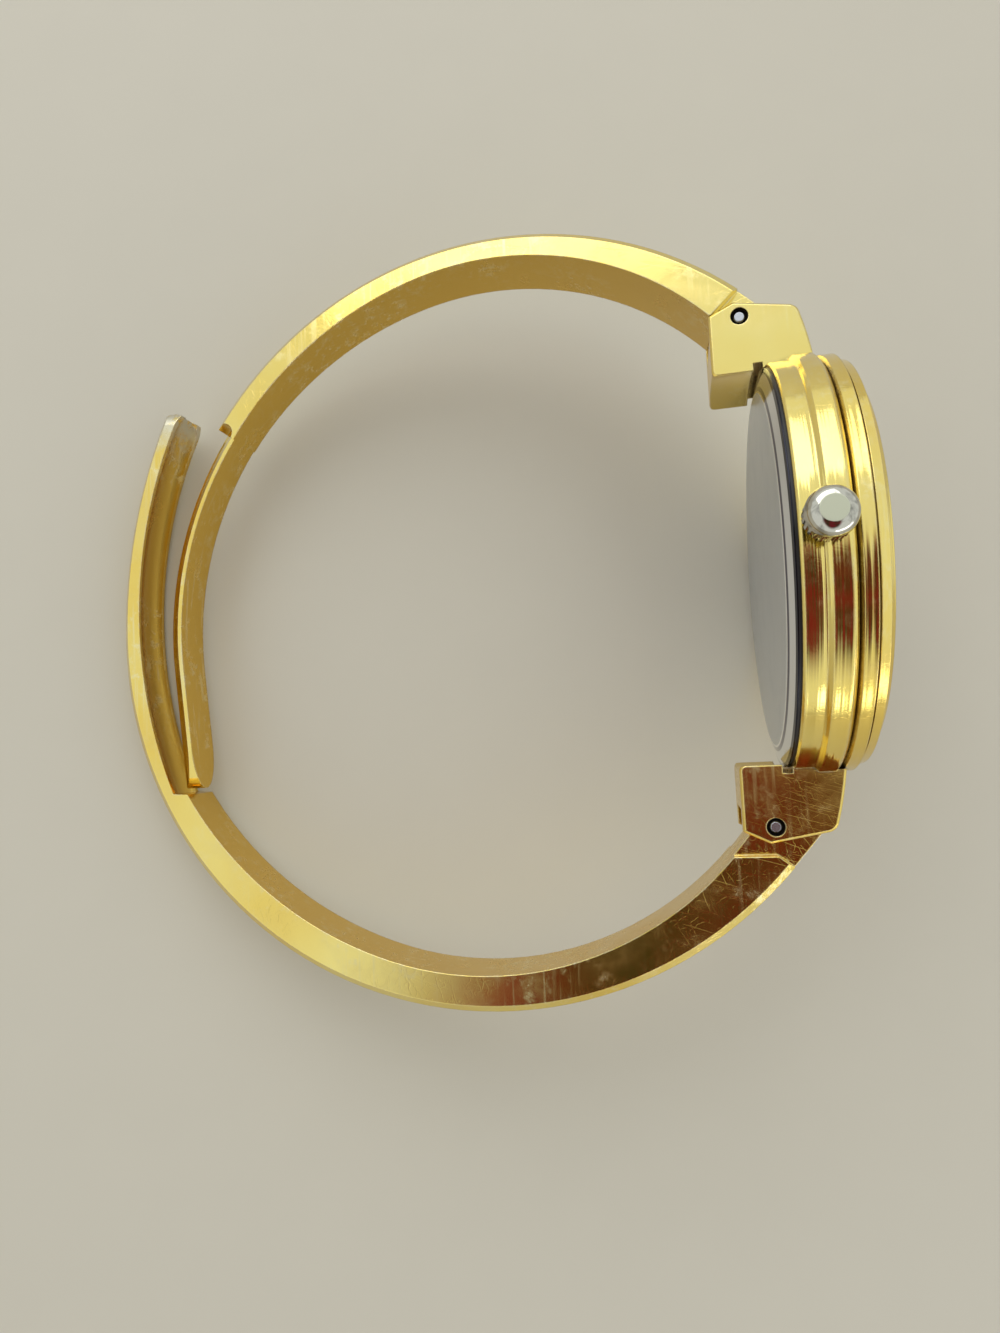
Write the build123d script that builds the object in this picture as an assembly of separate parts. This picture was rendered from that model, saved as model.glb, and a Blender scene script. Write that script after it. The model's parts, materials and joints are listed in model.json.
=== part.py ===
from build123d import *
import math
import os

# A bangle watch. Lengths are in millimetres and angles in degrees.
# The watch is drawn in its own frame: X points out of the dial, Y points from 12 to 6 o'clock and Z points
# to the crown at 3 o'clock. At the end it is laid on its side, crown up, as it rests on a table.

# Bangle
bangle_depth = 48.0      # from the pins to the inner wall at the back
band_root_width = 6.4
outer_tip_width = 3.9
inner_tip_width = 3.4
band_edge_bevel = 0.55
outer_root_wall = 3.8
outer_mid_wall = 2.85
outer_tip_wall = 1.5
inner_root_wall = 3.0
inner_shoulder_wall = 2.15
inner_mid_wall = 2.0
inner_end_wall = 1.85
trough_depth = 0.45
trough_rim = 0.4
tongue_inset = 0.12      # the tongue is this much thinner and narrower than the band before it
tongue_flat = 0.35       # flat strip along each inner edge of the tongue, before its slopes
tongue_slope_share = 0.6 # how far each slope rises, of the dome's height, and
tongue_crown_share = 0.5 # where it ends, of the tongue's half width
tongue_run = 10.4        # length of the tongue's straight end
tongue_root = 1.6        # how far the tongue runs into the band before the shoulder
tongue_tip_length = 3.6  # its end narrows over this length
outer_tip_length = 1.8   # and the outer half's end over this one

# Hinges
pin_diameter = 0.85
pin_recess = 0.12        # the pin's end lies this far below the cheek
pin_countersink = 1.3    # diameter of the dark ring round the pin's end
pin_countersink_depth = 0.35
lug_width = 6.92
knuckle_width = 4.6
knuckle_radius = 1.55
hinge_gap = 0.06         # each side of the knuckle, in the slot
root_gap = 0.12          # between the cheek and the band's full width
outer_root_setback = 2.1 # from the pin to where the outer half is full width
outer_neck_reach = 3.0   # the narrow neck runs on past the start of the outer half's curve
inner_neck_reach = 1.6   # and past the start of the inner half's
swing_play = 4.0         # degrees of room in the slot beyond the fully open half
outer_opening = 45.0     # how far the outer half opens
inner_opening = 31.5     # how far the inner half opens
spring_wire = 0.3
spring_length = 1.4
spring_room = 1.5        # length of the gap for the spring in each knuckle
slot_back_share = 0.75   # how far the slot reaches towards the case, of the eye's room

# Case, measured along X from the line through the pins, and inwards from its outer radius
case_radius = 15.5
case_back_x = 0.7        # outer face of the steel back
rim_x = 1.42             # where the gold case begins
belt_x = 2.85            # where the plain flank ends and the raised belt begins
bezel_x = 4.6            # where the bezel begins
bezel_top_x = 6.95
flank_inset = 0.3
back_inset = 0.65
back_flat_inset = 2.3
back_thickness = 0.45
snap_wall = 0.35         # wall of the back's snap rim
snap_length = 1.1
bore_inset = 1.6         # inside the case, where the back snaps in and the bezel snaps on
middle_inset = 2.5       # inside the case, round the movement
bezel_ring_inset = 0.25
bezel_front_inset = 0.6
bezel_opening_inset = 2.1
crystal_inset = 2.45
dial_inset = 2.9
groove_width = 0.18
groove_depth = 0.45
bead_round = 0.3
crystal_thickness = 1.15
crystal_bevel = 0.2
crystal_seat_x = 5.75
seal_gap = 0.02
fit_gap = 0.01           # radial clearance of a pressed fit
run_gap = 0.05           # radial clearance of a turning or sliding fit
edge_break = 0.15

# Lug blocks, outline seen from 3 o'clock, measured from the pin
lug_inner_x = -2.26
lug_outer_x = 5.12
lug_inner_inset = 1.1    # its end towards the case, and the hollow in it that clears the steel back
lug_hollow_inset = 0.6
pin_standoff = 3.4       # and the pin this far outside it
lug_heel = 0.29          # the block ends this far beyond the pin at its wrist side
lug_crest = 1.17         # and this far where it is highest
lug_toe = 0.35           # and this far at its outer corner
lug_crest_x = -0.42
lug_toe_x = 4.1
lug_inner_round = 0.5
lug_toe_round = 0.9
lug_flank_bulge = 0.12
lug_edge_break = 0.16
back_relief = 0.7        # undercut of the block above the back's flange

# Crown and stem
crown_x = 2.9
crown_radius = 1.5
crown_standoff = 1.1     # between the crown's inner face and the case
crown_length = 2.06
crown_flutes = 24
crown_flute_depth = 0.12
crown_cap_radius = 0.78
crown_shoulder = 1.0     # height of the rounded shoulder between the flutes and the flat end
crown_wall = 0.35
crown_dome_share = 0.707  # how full the rounded shoulder is, of its height and spread
crown_pull = 0.8
tube_radius = 0.85
tube_bore = 0.55
tube_reach = 0.9         # how far the tube stands out of the case
stem_radius = 0.4
stem_neck_share = 0.65    # radius of the groove that the setting lever lies in
stem_square = 0.5
clutch_radius = 0.72
clutch_teeth = 12
vee_share = 1.6          # half the width of a vee groove, of its depth

# Dial and hands
dial_x = 4.5             # back of the dial
dial_thickness = 0.4
ring_width = 0.9
hour_hand_share = 0.53   # length of the hands, of the dial's radius
minute_hand_share = 0.81
hand_thickness = 0.14
hour_hand_x = 5.06
minute_hand_x = 5.36
hour_hand_width = 0.9
minute_hand_width = 0.75
hour_boss_share = 1.25    # the hands' bosses, of the pipe and the post that they sit on
minute_boss_share = 1.6
marker_length = 1.9
marker_width = 0.36
marker_height = 0.12
marker_share = 0.81      # where the markers end, of the dial's radius
shown_time_share = 0.84725    # of the hour hand's turn past 12 o'clock, in the time that the hands show

# Movement, thicknesses and small radii
movement_radius = 9.0
plate_back_x = 3.6       # back of the main plate's floor
bridge_back_x = 1.75
bridge_thickness = 0.35
works_depth = 0.6        # recess on the dial side for the motion works
battery_height = 1.62
foil = 0.05
clamp_thickness = 0.13
stator_thickness = 0.35
core_thickness = 0.45
winding_radius = 0.92
screw_head_radius = 0.55
screw_head_height = 0.25
screw_radius = 0.32
screw_length = 1.3
screw_bearings = (62.0, 140.0, 290.0)
board_thickness = 0.2
chip_height = 0.45
can_radius = 0.55
pivot_radius = 0.12
arbor_radius = 0.18
wheel_thickness = 0.15
pinion_thickness = 0.3
lever_thickness = 0.2
lever_reach_share = 4.5   # from the stem's axis to the lever's pivot, of the stem's radius
lever_eye_share = 0.9     # its eye, of the same
lever_tip_share = 0.8     # and from the axis to its tip
lever_nose_share = 0.55   # half the nose's width, of the lever's thickness
cell_step_share = 0.86    # the battery's narrower front, of its radius
board_reach_shares = (0.76, 0.62)        # the circuit board's far sides, of the movement's inner radius
chip_edge_share = 1.3     # from the board's edge to the chip's middle, of half the chip's side
can_edge_share = 1.6      # and to the quartz can's, of the can's radius

# Movement, places and sizes across it as counts of a 900th of its radius, so that they keep together
grid = movement_radius / 900
rim_wall = 110 * grid
works_radius = 500 * grid
battery_radius = 340 * grid
battery_y = -430 * grid
battery_z = -330 * grid
clamp_width = 160 * grid
rotor_y = 390 * grid
rotor_z = 260 * grid
rotor_magnet_radius = 60 * grid
stator_y = 290 * grid
stator_outer_y = 670 * grid
stator_half_length = 540 * grid
stator_arm = 110 * grid
core_width = 90 * grid
winding_start = -410 * grid
winding_end = 120 * grid
screw_ring_radius = 820 * grid
chip_side = 190 * grid
can_length = 360 * grid
stem_end = 470 * grid
pinion_start = 500 * grid
pinion_length = 120 * grid
stem_groove = 675 * grid     # where the setting lever's nose lies

# Gear train: teeth and module, pinion first, from the rotor to the centre wheel and on to the hour wheel
rotor_teeth, intermediate_teeth, first_module = 8, 48, 8 * grid
intermediate_pinion_teeth, third_teeth, second_module = 8, 40, 9 * grid
third_pinion_teeth, centre_teeth, third_module = 10, 30, 11 * grid
cannon_teeth, minute_teeth, cannon_module = 10, 30, 10 * grid
minute_pinion_teeth, hour_teeth, hour_module = 8, 32, 10 * grid
setting_teeth = 16
tooth_root_share = 1.15  # depth of a tooth below its pitch circle, in modules
tooth_tip_share = 0.8    # and its height above it
tooth_base_share = 0.33  # half a tooth's width at its root, in tooth pitches
tooth_top_share = 0.13   # and at its tip
third_bearing = 70.0     # direction of the third wheel from the centre
minute_bearing = 117.0   # direction of the minute wheel from the centre

# Shares of the bangle's depth and of half the pin spread, which place the bangle's curves
inner_half_shares = [(-0.044, 1.026), (-0.258, 1.374), (-0.521, 1.410), (-0.995, -0.238)]
outer_half_shares = [(-0.038, -1.034), (-0.300, -1.505), (-0.617, -1.519), (-0.987, -0.808)]
outer_back_share = (-1.117, -0.100)
outer_tip_share = (-1.022, 0.990)
recess_start_share = (-1.015, -0.804)     # the outer half is thinner from here on, where the tongue lies in it
recess_mid_share = (-1.081, -0.053)
shoulder_share = 0.508      # where the tongue begins, along the inner half's second curve
bezel_step_share = 0.55     # where the bezel's side ends and its sloping front begins

overrun = 3.0            # how far cutting bodies run past what they cut
touch = 0.02             # points this close count as lying on a curve

half_spread = case_radius + pin_standoff
lug_inner_y = case_radius - lug_inner_inset
flank_radius = case_radius - flank_inset
back_radius = case_radius - back_inset
back_flat_radius = case_radius - back_flat_inset
bore_radius = case_radius - bore_inset
neck_radius = bore_radius
middle_bore = case_radius - middle_inset
bezel_ring_radius = case_radius - bezel_ring_inset
bezel_front_radius = case_radius - bezel_front_inset
bezel_opening = case_radius - bezel_opening_inset
crystal_radius = case_radius - crystal_inset
dial_radius = case_radius - dial_inset
crown_start = case_radius + crown_standoff
bezel_front_x = bezel_x + bezel_step_share * (bezel_top_x - bezel_x)


def disc(x0, x1, radius, y=0, z=0):
    return extrude(Plane.YZ.offset(x0) * Pos(y, z) * Circle(radius), x1 - x0)


def tube(x0, x1, inner, outer, y=0, z=0):
    return extrude(Plane.YZ.offset(x0) * Pos(y, z) * (Circle(outer) - Circle(inner)), x1 - x0)


def plate(x0, x1, points):
    return extrude(Plane.YZ.offset(x0) * make_face(Polyline(*points, close=True)), x1 - x0)


def box_yz(x0, x1, y0, y1, z0, z1):
    return plate(x0, x1, [(y0, z0), (y1, z0), (y1, z1), (y0, z1)])


def turned(points):
    """A ring turned about the watch's axis from an outline of (x, radius) points."""
    return revolve(make_face(Polyline(*points, close=True)), Axis.X)


def post(z0, z1, radius, x=crown_x, y=0):
    """A round bar along Z."""
    return extrude(Plane.XY.offset(z0) * Pos(x, y) * Circle(radius), z1 - z0)


def gear(teeth, module, x0, x1, y=0, z=0, turn=0.0):
    """A spur gear with straight-flanked teeth, narrow enough to run with play."""
    pitch = 360 / teeth
    inner = module * (teeth / 2 - tooth_root_share)
    outer = module * (teeth / 2 + tooth_tip_share)
    base, top = tooth_base_share, tooth_top_share
    tooth_sides = ((inner, -base), (outer, -top), (outer, top), (inner, base))
    points = []
    for tooth in range(teeth):
        middle = turn + tooth * pitch
        for radius, offset in tooth_sides:
            angle = math.radians(middle + offset * pitch)
            points.append((y + radius * math.cos(angle), z + radius * math.sin(angle)))
    return plate(x0, x1, points)


def polar(distance, bearing):
    angle = math.radians(bearing)
    return distance * math.cos(angle), distance * math.sin(angle)


def mesh_distance(teeth_a, teeth_b, module):
    return module * (teeth_a + teeth_b) / 2


def meeting_point(start, reach_a, end, reach_b):
    """The point at reach_a from start and reach_b from end, on the right of the line between them."""
    dy, dz = end[0] - start[0], end[1] - start[1]
    span = math.hypot(dy, dz)
    along = (reach_a ** 2 - reach_b ** 2 + span ** 2) / (2 * span)
    aside = math.sqrt(reach_a ** 2 - along ** 2)
    return (start[0] + (along * dy + aside * dz) / span, start[1] + (along * dz - aside * dy) / span)


third_place = polar(mesh_distance(third_pinion_teeth, centre_teeth, third_module), third_bearing)
intermediate_place = meeting_point(
    third_place, mesh_distance(intermediate_pinion_teeth, third_teeth, second_module),
    (rotor_y, rotor_z), mesh_distance(rotor_teeth, intermediate_teeth, first_module))
minute_place = polar(mesh_distance(cannon_teeth, minute_teeth, cannon_module), minute_bearing)
setting_reach = mesh_distance(setting_teeth, minute_teeth, cannon_module)
setting_place = (0, minute_place[1] + math.sqrt(setting_reach ** 2 - minute_place[0] ** 2))
plate_front_x = dial_x
works_x = dial_x - works_depth
bridge_front_x = bridge_back_x + bridge_thickness
train_step = (plate_back_x - bridge_front_x) / 4
fast_x = bridge_front_x + train_step / 3
middle_x = fast_x + train_step
slow_x = middle_x + train_step
pivot_x = bridge_back_x + bridge_thickness / 3      # where the wheels' pivots end in the bridge
pivot_end_x = plate_back_x + works_depth / 4        # and in the main plate


def meshed_turn(place, mate_place, teeth, mate_teeth, mate_turn):
    """Turn that puts a gap of this gear on the mate's tooth that lies nearest the line of centres."""
    toward = math.degrees(math.atan2(mate_place[1] - place[1], mate_place[0] - place[0]))
    back = toward + 180
    lead = (back - mate_turn) % (360 / mate_teeth)
    return toward + 180 / teeth + lead * mate_teeth / teeth


def in_bangle(share):
    return share[0] * bangle_depth, share[1] * half_spread


def two_arcs(points):
    """An arc through three points and a second one that runs on smoothly to the fourth."""
    first = ThreePointArc(points[0], points[1], points[2])
    second = TangentArc(points[2], points[3], tangent=first % 1)
    return first, second


def away(edge, share, wall, side):
    """The point that lies a wall's thickness off the edge, on its outer side."""
    tangent = edge % share
    normal = Vector(side * tangent.Y, -side * tangent.X, 0)
    point = edge @ share + normal * wall
    return point.X, point.Y


def taper(tip_width):
    """A wedge that gives the band its width, wide at the lugs and narrow at the back."""
    slope = (band_root_width - tip_width) / bangle_depth / 2
    near, far = lug_outer_x + overrun, -bangle_depth - half_spread
    near_half = band_root_width / 2 + slope * near
    far_half = band_root_width / 2 + slope * far
    outline = [(near, near_half), (far, far_half), (far, -far_half), (near, -near_half)]
    return extrude(Plane.XZ * make_face(Polyline(*outline, close=True)), bangle_depth, both=True)


def edges_on(body, curves):
    """Edges of the body that lie over the given curves, at its two side faces."""
    chosen = []
    for edge in body.edges():
        middle = edge @ 0.5
        ends = [edge @ 0.2, edge @ 0.8]
        flat = [Vertex(point.X, point.Y, 0) for point in [middle] + ends]
        near = all(min(curve.distance_to(vertex) for curve in curves) < touch for vertex in flat)
        if near and abs(middle.Z) > knuckle_width / 8:
            chosen.append(edge)
    return chosen


def rounded_end(end, side, width, length):
    """Room for a band up to its end, which is half an ellipse as seen along X. side is 1 if Y grows to it."""
    middle = end - side * length
    near, far = bangle_depth, -bangle_depth * 2
    nose = extrude(Plane.YZ.offset(far) * Pos(middle, 0) * Ellipse(length, width / 2), near - far)
    low, high = sorted((middle, middle - side * half_spread * 4))
    return nose + box_yz(far, near, low, high, -band_root_width, band_root_width)


def across(path, side):
    """The plane across a path at its start, X pointing to the band's outer side."""
    tangent = path % 0
    return Plane(origin=path @ 0, x_dir=(side * tangent.Y, -side * tangent.X, 0), z_dir=tangent)


def lug_outline(side, grow=0.0):
    """The lug block's outline as seen from 3 o'clock. side is 1 at 6 o'clock and -1 at 12 o'clock."""
    heel = (lug_inner_x - grow, side * (half_spread + lug_heel + grow))
    crest = (lug_crest_x, side * (half_spread + lug_crest + grow))
    toe = (lug_toe_x + grow, side * (half_spread + lug_toe + grow))
    flank = (lug_outer_x + grow, side * lug_inner_y)
    corner = (lug_inner_x - grow, side * (lug_inner_y - grow))
    return [heel, crest, toe, flank, corner]


def full_opening(side):
    return inner_opening if side > 0 else outer_opening


def opening_relief(side):
    """Room that the full width of a half leaves for the cheeks, from closed to fully open."""
    turned_by = math.radians(full_opening(side)) * side
    crest = Vector(lug_crest_x, side * (half_spread + lug_crest + root_gap), 0)
    toe = Vector(lug_toe_x, side * (half_spread + lug_toe + root_gap), 0)
    pin = Vector(0, side * half_spread, 0)
    swung = []
    for point in (crest, toe):
        arm = point - pin
        x = arm.X * math.cos(turned_by) - arm.Y * math.sin(turned_by)
        y = arm.X * math.sin(turned_by) + arm.Y * math.cos(turned_by)
        swung.append((pin.X + x, pin.Y + y))
    low = (lug_outer_x + overrun, side * (half_spread - knuckle_radius))
    high = (swung[1][0] + overrun, swung[1][1])
    outline = [swung[0], swung[1], high, low, (0, side * (half_spread - knuckle_radius))]
    return extrude(make_face(Polyline(*outline, close=True)), lug_width, both=True)


def hinge_room(side, setback):
    """What is cut from a half's full width so that it clears the lug block, on both sides of its neck."""
    heel, crest, toe, flank, corner = lug_outline(side, root_gap)
    cheek = extrude(make_face(Polyline(heel, crest, toe, flank, corner, close=True)), lug_width, both=True)
    room = cheek + opening_relief(side)
    far = side * (half_spread + setback)
    near = side * lug_inner_y
    reach = lug_inner_x - overrun
    block = [(reach, near), (lug_outer_x + overrun, near), (lug_outer_x + overrun, far), (reach, far)]
    if setback > lug_crest:
        room += extrude(make_face(Polyline(*block, close=True)), lug_width, both=True)
    return room - Box(bangle_depth * 2, half_spread * 4, knuckle_width)


def neck_corner(side):
    """Where the outer edge of a half's neck ends, beside the pin."""
    edge = inner_half_curves()[2] if side > 0 else outer_half_curves()[2]
    reach = inner_neck_reach if side > 0 else outer_neck_reach
    return edge @ 0 - (edge % 0) * reach


def knuckle(side, curves):
    """The narrow end of a half that turns on the pin, its bore and the gap for its spring."""
    inner_edge, outer_edge = curves[0], curves[2]
    half = knuckle_width / 2
    pin = (0, side * half_spread)
    eye = extrude(Pos(*pin) * Circle(knuckle_radius), half, both=True)
    corners = [neck_corner(side), outer_edge @ 0, inner_edge @ 0]
    outline = [pin] + [(corner.X, corner.Y) for corner in corners]
    body = eye + extrude(make_face(Polyline(*outline, close=True)), half, both=True)
    bore = extrude(Pos(*pin) * Circle(pin_diameter / 2 + run_gap), overrun, both=True)
    gap = extrude(Pos(*pin) * Circle(knuckle_radius + run_gap), spring_room / 2, both=True)
    return body, bore, gap


def inner_half_curves():
    """The inner half's edges on the wrist side and on the outside, two arcs each."""
    first, second = two_arcs([in_bangle(share) for share in inner_half_shares])
    outer_points = [away(first, 0, inner_root_wall, 1), away(first, 0.5, inner_shoulder_wall, 1),
                    away(first, 1, inner_mid_wall, 1), away(second, 1, inner_end_wall, 1)]
    return first, second, *two_arcs(outer_points)


def outer_half_curves():
    """The same for the outer half."""
    first, second = two_arcs([in_bangle(share) for share in outer_half_shares])
    outer_points = [away(first, 0, outer_root_wall, -1), away(first, 1, outer_mid_wall, -1),
                    in_bangle(outer_back_share), in_bangle(outer_tip_share)]
    return first, second, *two_arcs(outer_points)


def inner_shell():
    """The inner half from its pin to the shoulder."""
    first, second, outer_first, outer_second = inner_half_curves()
    cap = Line(second @ 1, outer_second @ 1)
    foot = Line(outer_first @ 0, first @ 0)
    whole = make_face(Curve() + [first, second, cap, outer_second, outer_first, foot])
    body = extrude(whole, band_root_width, both=True) & taper(inner_tip_width)
    body = chamfer(edges_on(body, [outer_first, outer_second]), band_edge_bevel)
    shoulder = second @ shoulder_share
    end = Plane(origin=shoulder, x_dir=(0, 0, 1), z_dir=second % shoulder_share)
    body -= extrude(end * Rectangle(band_root_width * 2, half_spread), bangle_depth)
    round_radius = (inner_mid_wall - tongue_flat) / 2
    centre = away(second, shoulder_share, tongue_flat + round_radius, 1)
    return body - extrude(Pos(*centre) * Circle(round_radius), band_root_width, both=True)


def tongue():
    """A narrow strip, flat on the wrist side, sloped and domed outside, which ends in half an ellipse."""
    second = inner_half_curves()[1]
    root_share = shoulder_share - tongue_root / second.length
    arc = TangentArc(second @ root_share, second @ 1, tangent=second % root_share)
    run = Line(second @ 1, second @ 1 + (second % 1) * tongue_run)
    half = inner_tip_width / 2
    top = inner_end_wall - tongue_inset
    flat = Polyline((tongue_flat, -half), (0, -half), (0, half), (tongue_flat, half))
    rise, edge = tongue_flat + (top - tongue_flat) * tongue_slope_share, half * tongue_crown_share
    slopes = [Line((tongue_flat, half), (rise, edge)), Line((rise, -edge), (tongue_flat, -half))]
    dome = ThreePointArc((rise, edge), (top, 0), (rise, -edge))
    body = sweep(across(arc, 1) * make_face(Curve() + [flat, dome] + slopes), path=Wire([arc, run]))
    return body & rounded_end((run @ 1).Y, -1, inner_tip_width, tongue_tip_length)


def outer_half_body():
    first, second, outer_first, outer_second = outer_half_curves()
    tip = outer_second @ 1
    tip_inner = away(outer_second, 1, -outer_tip_wall, -1)
    inside = ThreePointArc(in_bangle(recess_start_share), in_bangle(recess_mid_share), tip_inner)
    parts = [first, second, Line(second @ 1, inside @ 0), inside, Line(inside @ 1, tip),
             outer_second, outer_first, Line(outer_first @ 0, first @ 0)]
    body = extrude(make_face(Curve() + parts), band_root_width, both=True) & taper(outer_tip_width)
    body = chamfer(edges_on(body, [outer_first, outer_second]), band_edge_bevel)
    body = body & rounded_end(tip.Y, 1, outer_tip_width, outer_tip_length)
    half = outer_tip_width / 2 - trough_rim
    hollow = ThreePointArc((0, -half), (trough_depth, 0), (0, half))
    open_side = Polyline((0, half), (-trough_depth, half), (-trough_depth, -half), (0, -half))
    trough = sweep(across(inside, -1) * make_face(Curve() + [hollow, open_side]), path=inside)
    return body - (trough & rounded_end(tip.Y - trough_rim, 1, half * 2, outer_tip_length))


def build_inner_half():
    body, bore, gap = knuckle(1, inner_half_curves())
    return (inner_shell() - hinge_room(1, 0)) + tongue() + (body - gap) - bore


def build_outer_half():
    body, bore, gap = knuckle(-1, outer_half_curves())
    return (outer_half_body() - hinge_room(-1, outer_root_setback)) + (body - gap) - bore


def hinge_pin(side):
    half = lug_width / 2 - pin_recess
    body = extrude(Pos(0, side * half_spread) * Circle(pin_diameter / 2), half, both=True)
    return chamfer(body.edges().filter_by(GeomType.CIRCLE), pin_diameter / 10)


def hinge_spring(side):
    """The torsion spring round the pin, in the gap of the knuckle, as a plain sleeve of its size."""
    inner = pin_diameter / 2 + run_gap * 2
    ring = Pos(0, side * half_spread) * (Circle(inner + spring_wire) - Circle(inner))
    return extrude(ring, spring_length / 2, both=True)


def lug_block(side):
    heel, crest, toe, flank, corner = lug_outline(side)
    flank_mid = ((toe[0] + flank[0]) / 2 + lug_flank_bulge, (toe[1] + flank[1]) / 2)
    outline = Curve() + [Line(corner, heel), Line(heel, crest), Line(crest, toe),
                         ThreePointArc(toe, flank_mid, flank), Line(flank, corner)]
    body = extrude(make_face(outline), lug_width / 2, both=True)
    for point, radius in ((corner, lug_inner_round), (toe, lug_toe_round)):
        uprights = body.edges().filter_by(Axis.Z)
        body = fillet([edge for edge in uprights if (edge.center() - Vector(*point)).length < touch * 4], radius)
    rims = body.faces().filter_by(Axis.Z).edges()
    return chamfer(rims, lug_edge_break)


def hinge_slot(side):
    """The slot between the cheeks, with room for the knuckle and its neck to turn."""
    half = knuckle_width / 2 + hinge_gap
    eye_room = knuckle_radius + root_gap
    y = side * half_spread
    arm = neck_corner(side) - Vector(0, y, 0)
    reach = arm.length + root_gap
    swung = math.degrees(math.atan2(-side * arm.Y, arm.X)) + full_opening(side) + swing_play
    swing = [(0, y)]
    for bearing in (swung, swung / 2, -90):
        away_x, away_y = polar(reach * 2, bearing)
        swing.append((away_x, y - side * away_y))
    far = y + side * (lug_crest + overrun)
    wide = [(lug_inner_x - overrun, y), (reach, y), (reach, far), (lug_inner_x - overrun, far)]
    side_room = y - side * eye_room * slot_back_share
    back = [(lug_inner_x - overrun, side_room), (0, side_room), (0, y), (lug_inner_x - overrun, y)]
    shape = Pos(0, y) * Circle(eye_room) + (Pos(0, y) * Circle(reach) & make_face(Polyline(*swing, close=True)))
    shape += make_face(Polyline(*wide, close=True)) + make_face(Polyline(*back, close=True))
    return extrude(shape, half, both=True)


def pin_holes(side):
    place = Pos(0, side * half_spread)
    bore = extrude(place * Circle(pin_diameter / 2 + fit_gap), lug_width, both=True)
    sink = extrude(place * Circle(pin_countersink / 2), overrun + pin_countersink_depth)
    level = lug_width / 2 - pin_countersink_depth
    return bore + Pos(0, 0, level) * sink + Pos(0, 0, -level - overrun - pin_countersink_depth) * sink


def case_middle():
    belt = case_radius
    seat = middle_bore - ring_width / 2
    shelf_x = dial_x + dial_thickness + foil
    outline = [(rim_x, bore_radius), (rim_x, flank_radius - edge_break), (rim_x + edge_break, flank_radius),
               (belt_x, flank_radius), (belt_x + bead_round, belt), (bezel_x - bead_round, belt),
               (bezel_x, belt - bead_round), (bezel_x, neck_radius), (crystal_seat_x, neck_radius),
               (crystal_seat_x, seat), (shelf_x, seat), (shelf_x, middle_bore),
               (rim_x + snap_length, middle_bore), (rim_x + snap_length, bore_radius)]
    body = turned(outline)
    for side in (1, -1):
        block = lug_block(side) - disc(-case_radius, crown_x, case_radius - lug_hollow_inset)
        block = block - disc(crown_x, bezel_top_x + overrun, bezel_ring_radius + run_gap * 2)
        relief = disc(rim_x - back_relief, rim_x, case_radius)
        body = body + (block - relief) - hinge_slot(side) - pin_holes(side)
    return body - post(0, case_radius + overrun, tube_radius + fit_gap)


def bezel():
    ring = bezel_ring_radius
    step = bezel_front_x
    outline = [(bezel_x + fit_gap, neck_radius + fit_gap), (bezel_x + fit_gap, ring - bead_round),
               (bezel_x + fit_gap + bead_round, ring), (step - groove_width, ring),
               (step - groove_width, ring - groove_depth), (step, ring - groove_depth),
               (step, bezel_front_radius), (step + bead_round * 2, bezel_front_radius - bead_round / 2),
               (bezel_top_x - bead_round, bezel_opening + bead_round * 2),
               (bezel_top_x, bezel_opening + bead_round), (bezel_top_x, bezel_opening),
               (crystal_seat_x + fit_gap, bezel_opening), (crystal_seat_x + fit_gap, neck_radius + fit_gap)]
    return turned(outline)


def crystal():
    top = crystal_seat_x + crystal_thickness
    outline = [(crystal_seat_x, 0), (crystal_seat_x, crystal_radius), (top, crystal_radius),
               (top + crystal_bevel, crystal_radius - crystal_bevel * 2), (top + crystal_bevel, 0)]
    return turned(outline)


def crystal_gasket():
    return tube(crystal_seat_x, crystal_seat_x + crystal_thickness, crystal_radius + seal_gap / 2,
                bezel_opening - seal_gap / 2)


def case_back():
    outer = bore_radius - fit_gap
    inner = outer - snap_wall
    snap_end = rim_x + snap_length - edge_break
    front = case_back_x + back_thickness
    outline = [(case_back_x, 0), (case_back_x, back_flat_radius),
               (rim_x - groove_width * 1.5, back_radius), (rim_x - groove_width, back_radius),
               (rim_x - groove_width, outer), (snap_end, outer), (snap_end, inner),
               (front, inner), (front, 0)]
    return turned(outline)


def case_back_gasket():
    return tube(rim_x - groove_width, rim_x, bore_radius + seal_gap, back_radius)


def movement_ring():
    ring = tube(rim_x + snap_length + edge_break, dial_x, movement_radius + run_gap, middle_bore - run_gap)
    slot = box_yz(rim_x, crown_x + tube_radius, -tube_radius, tube_radius, 0, case_radius)
    return ring - slot


def dial():
    face = disc(dial_x, dial_x + dial_thickness, dial_radius)
    return face - disc(dial_x - overrun, dial_x + overrun, hour_hub_radius() + run_gap)


def hour_hub_radius():
    return cannon_module * cannon_teeth / 2 + run_gap + arbor_radius * 1.5


def dial_ring():
    top = crystal_seat_x
    low = dial_x + dial_thickness
    inner = middle_bore - ring_width / 2 - run_gap
    outline = [(low, inner), (low, inner - ring_width), (top, inner - ring_width / 2), (top, inner)]
    return turned(outline)


def dial_markers():
    marks = []
    face = dial_x + dial_thickness
    end = dial_radius * marker_share
    for hour in range(12):
        width = marker_width * (2 if hour == 0 else 1)
        mark = box_yz(face, face + marker_height, end - marker_length, end, -width / 2, width / 2)
        marks.append(Rot(hour * 30 + 180, 0, 0) * mark)
    return Compound(children=marks)


def hand(length, width, x, hub, bore, turns):
    """A tapered hand, this share of a turn past 12 o'clock."""
    tail = length / 5
    outline = [(tail, -width / 3), (tail, width / 3), (-length / 5, width / 2), (-length, width / 8),
               (-length, -width / 8), (-length / 5, -width / 2)]
    body = plate(x, x + hand_thickness, outline) + disc(x, x + hand_thickness, hub)
    return Rot(-turns * 360, 0, 0) * (body - disc(x - overrun, x + overrun, bore))


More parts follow.
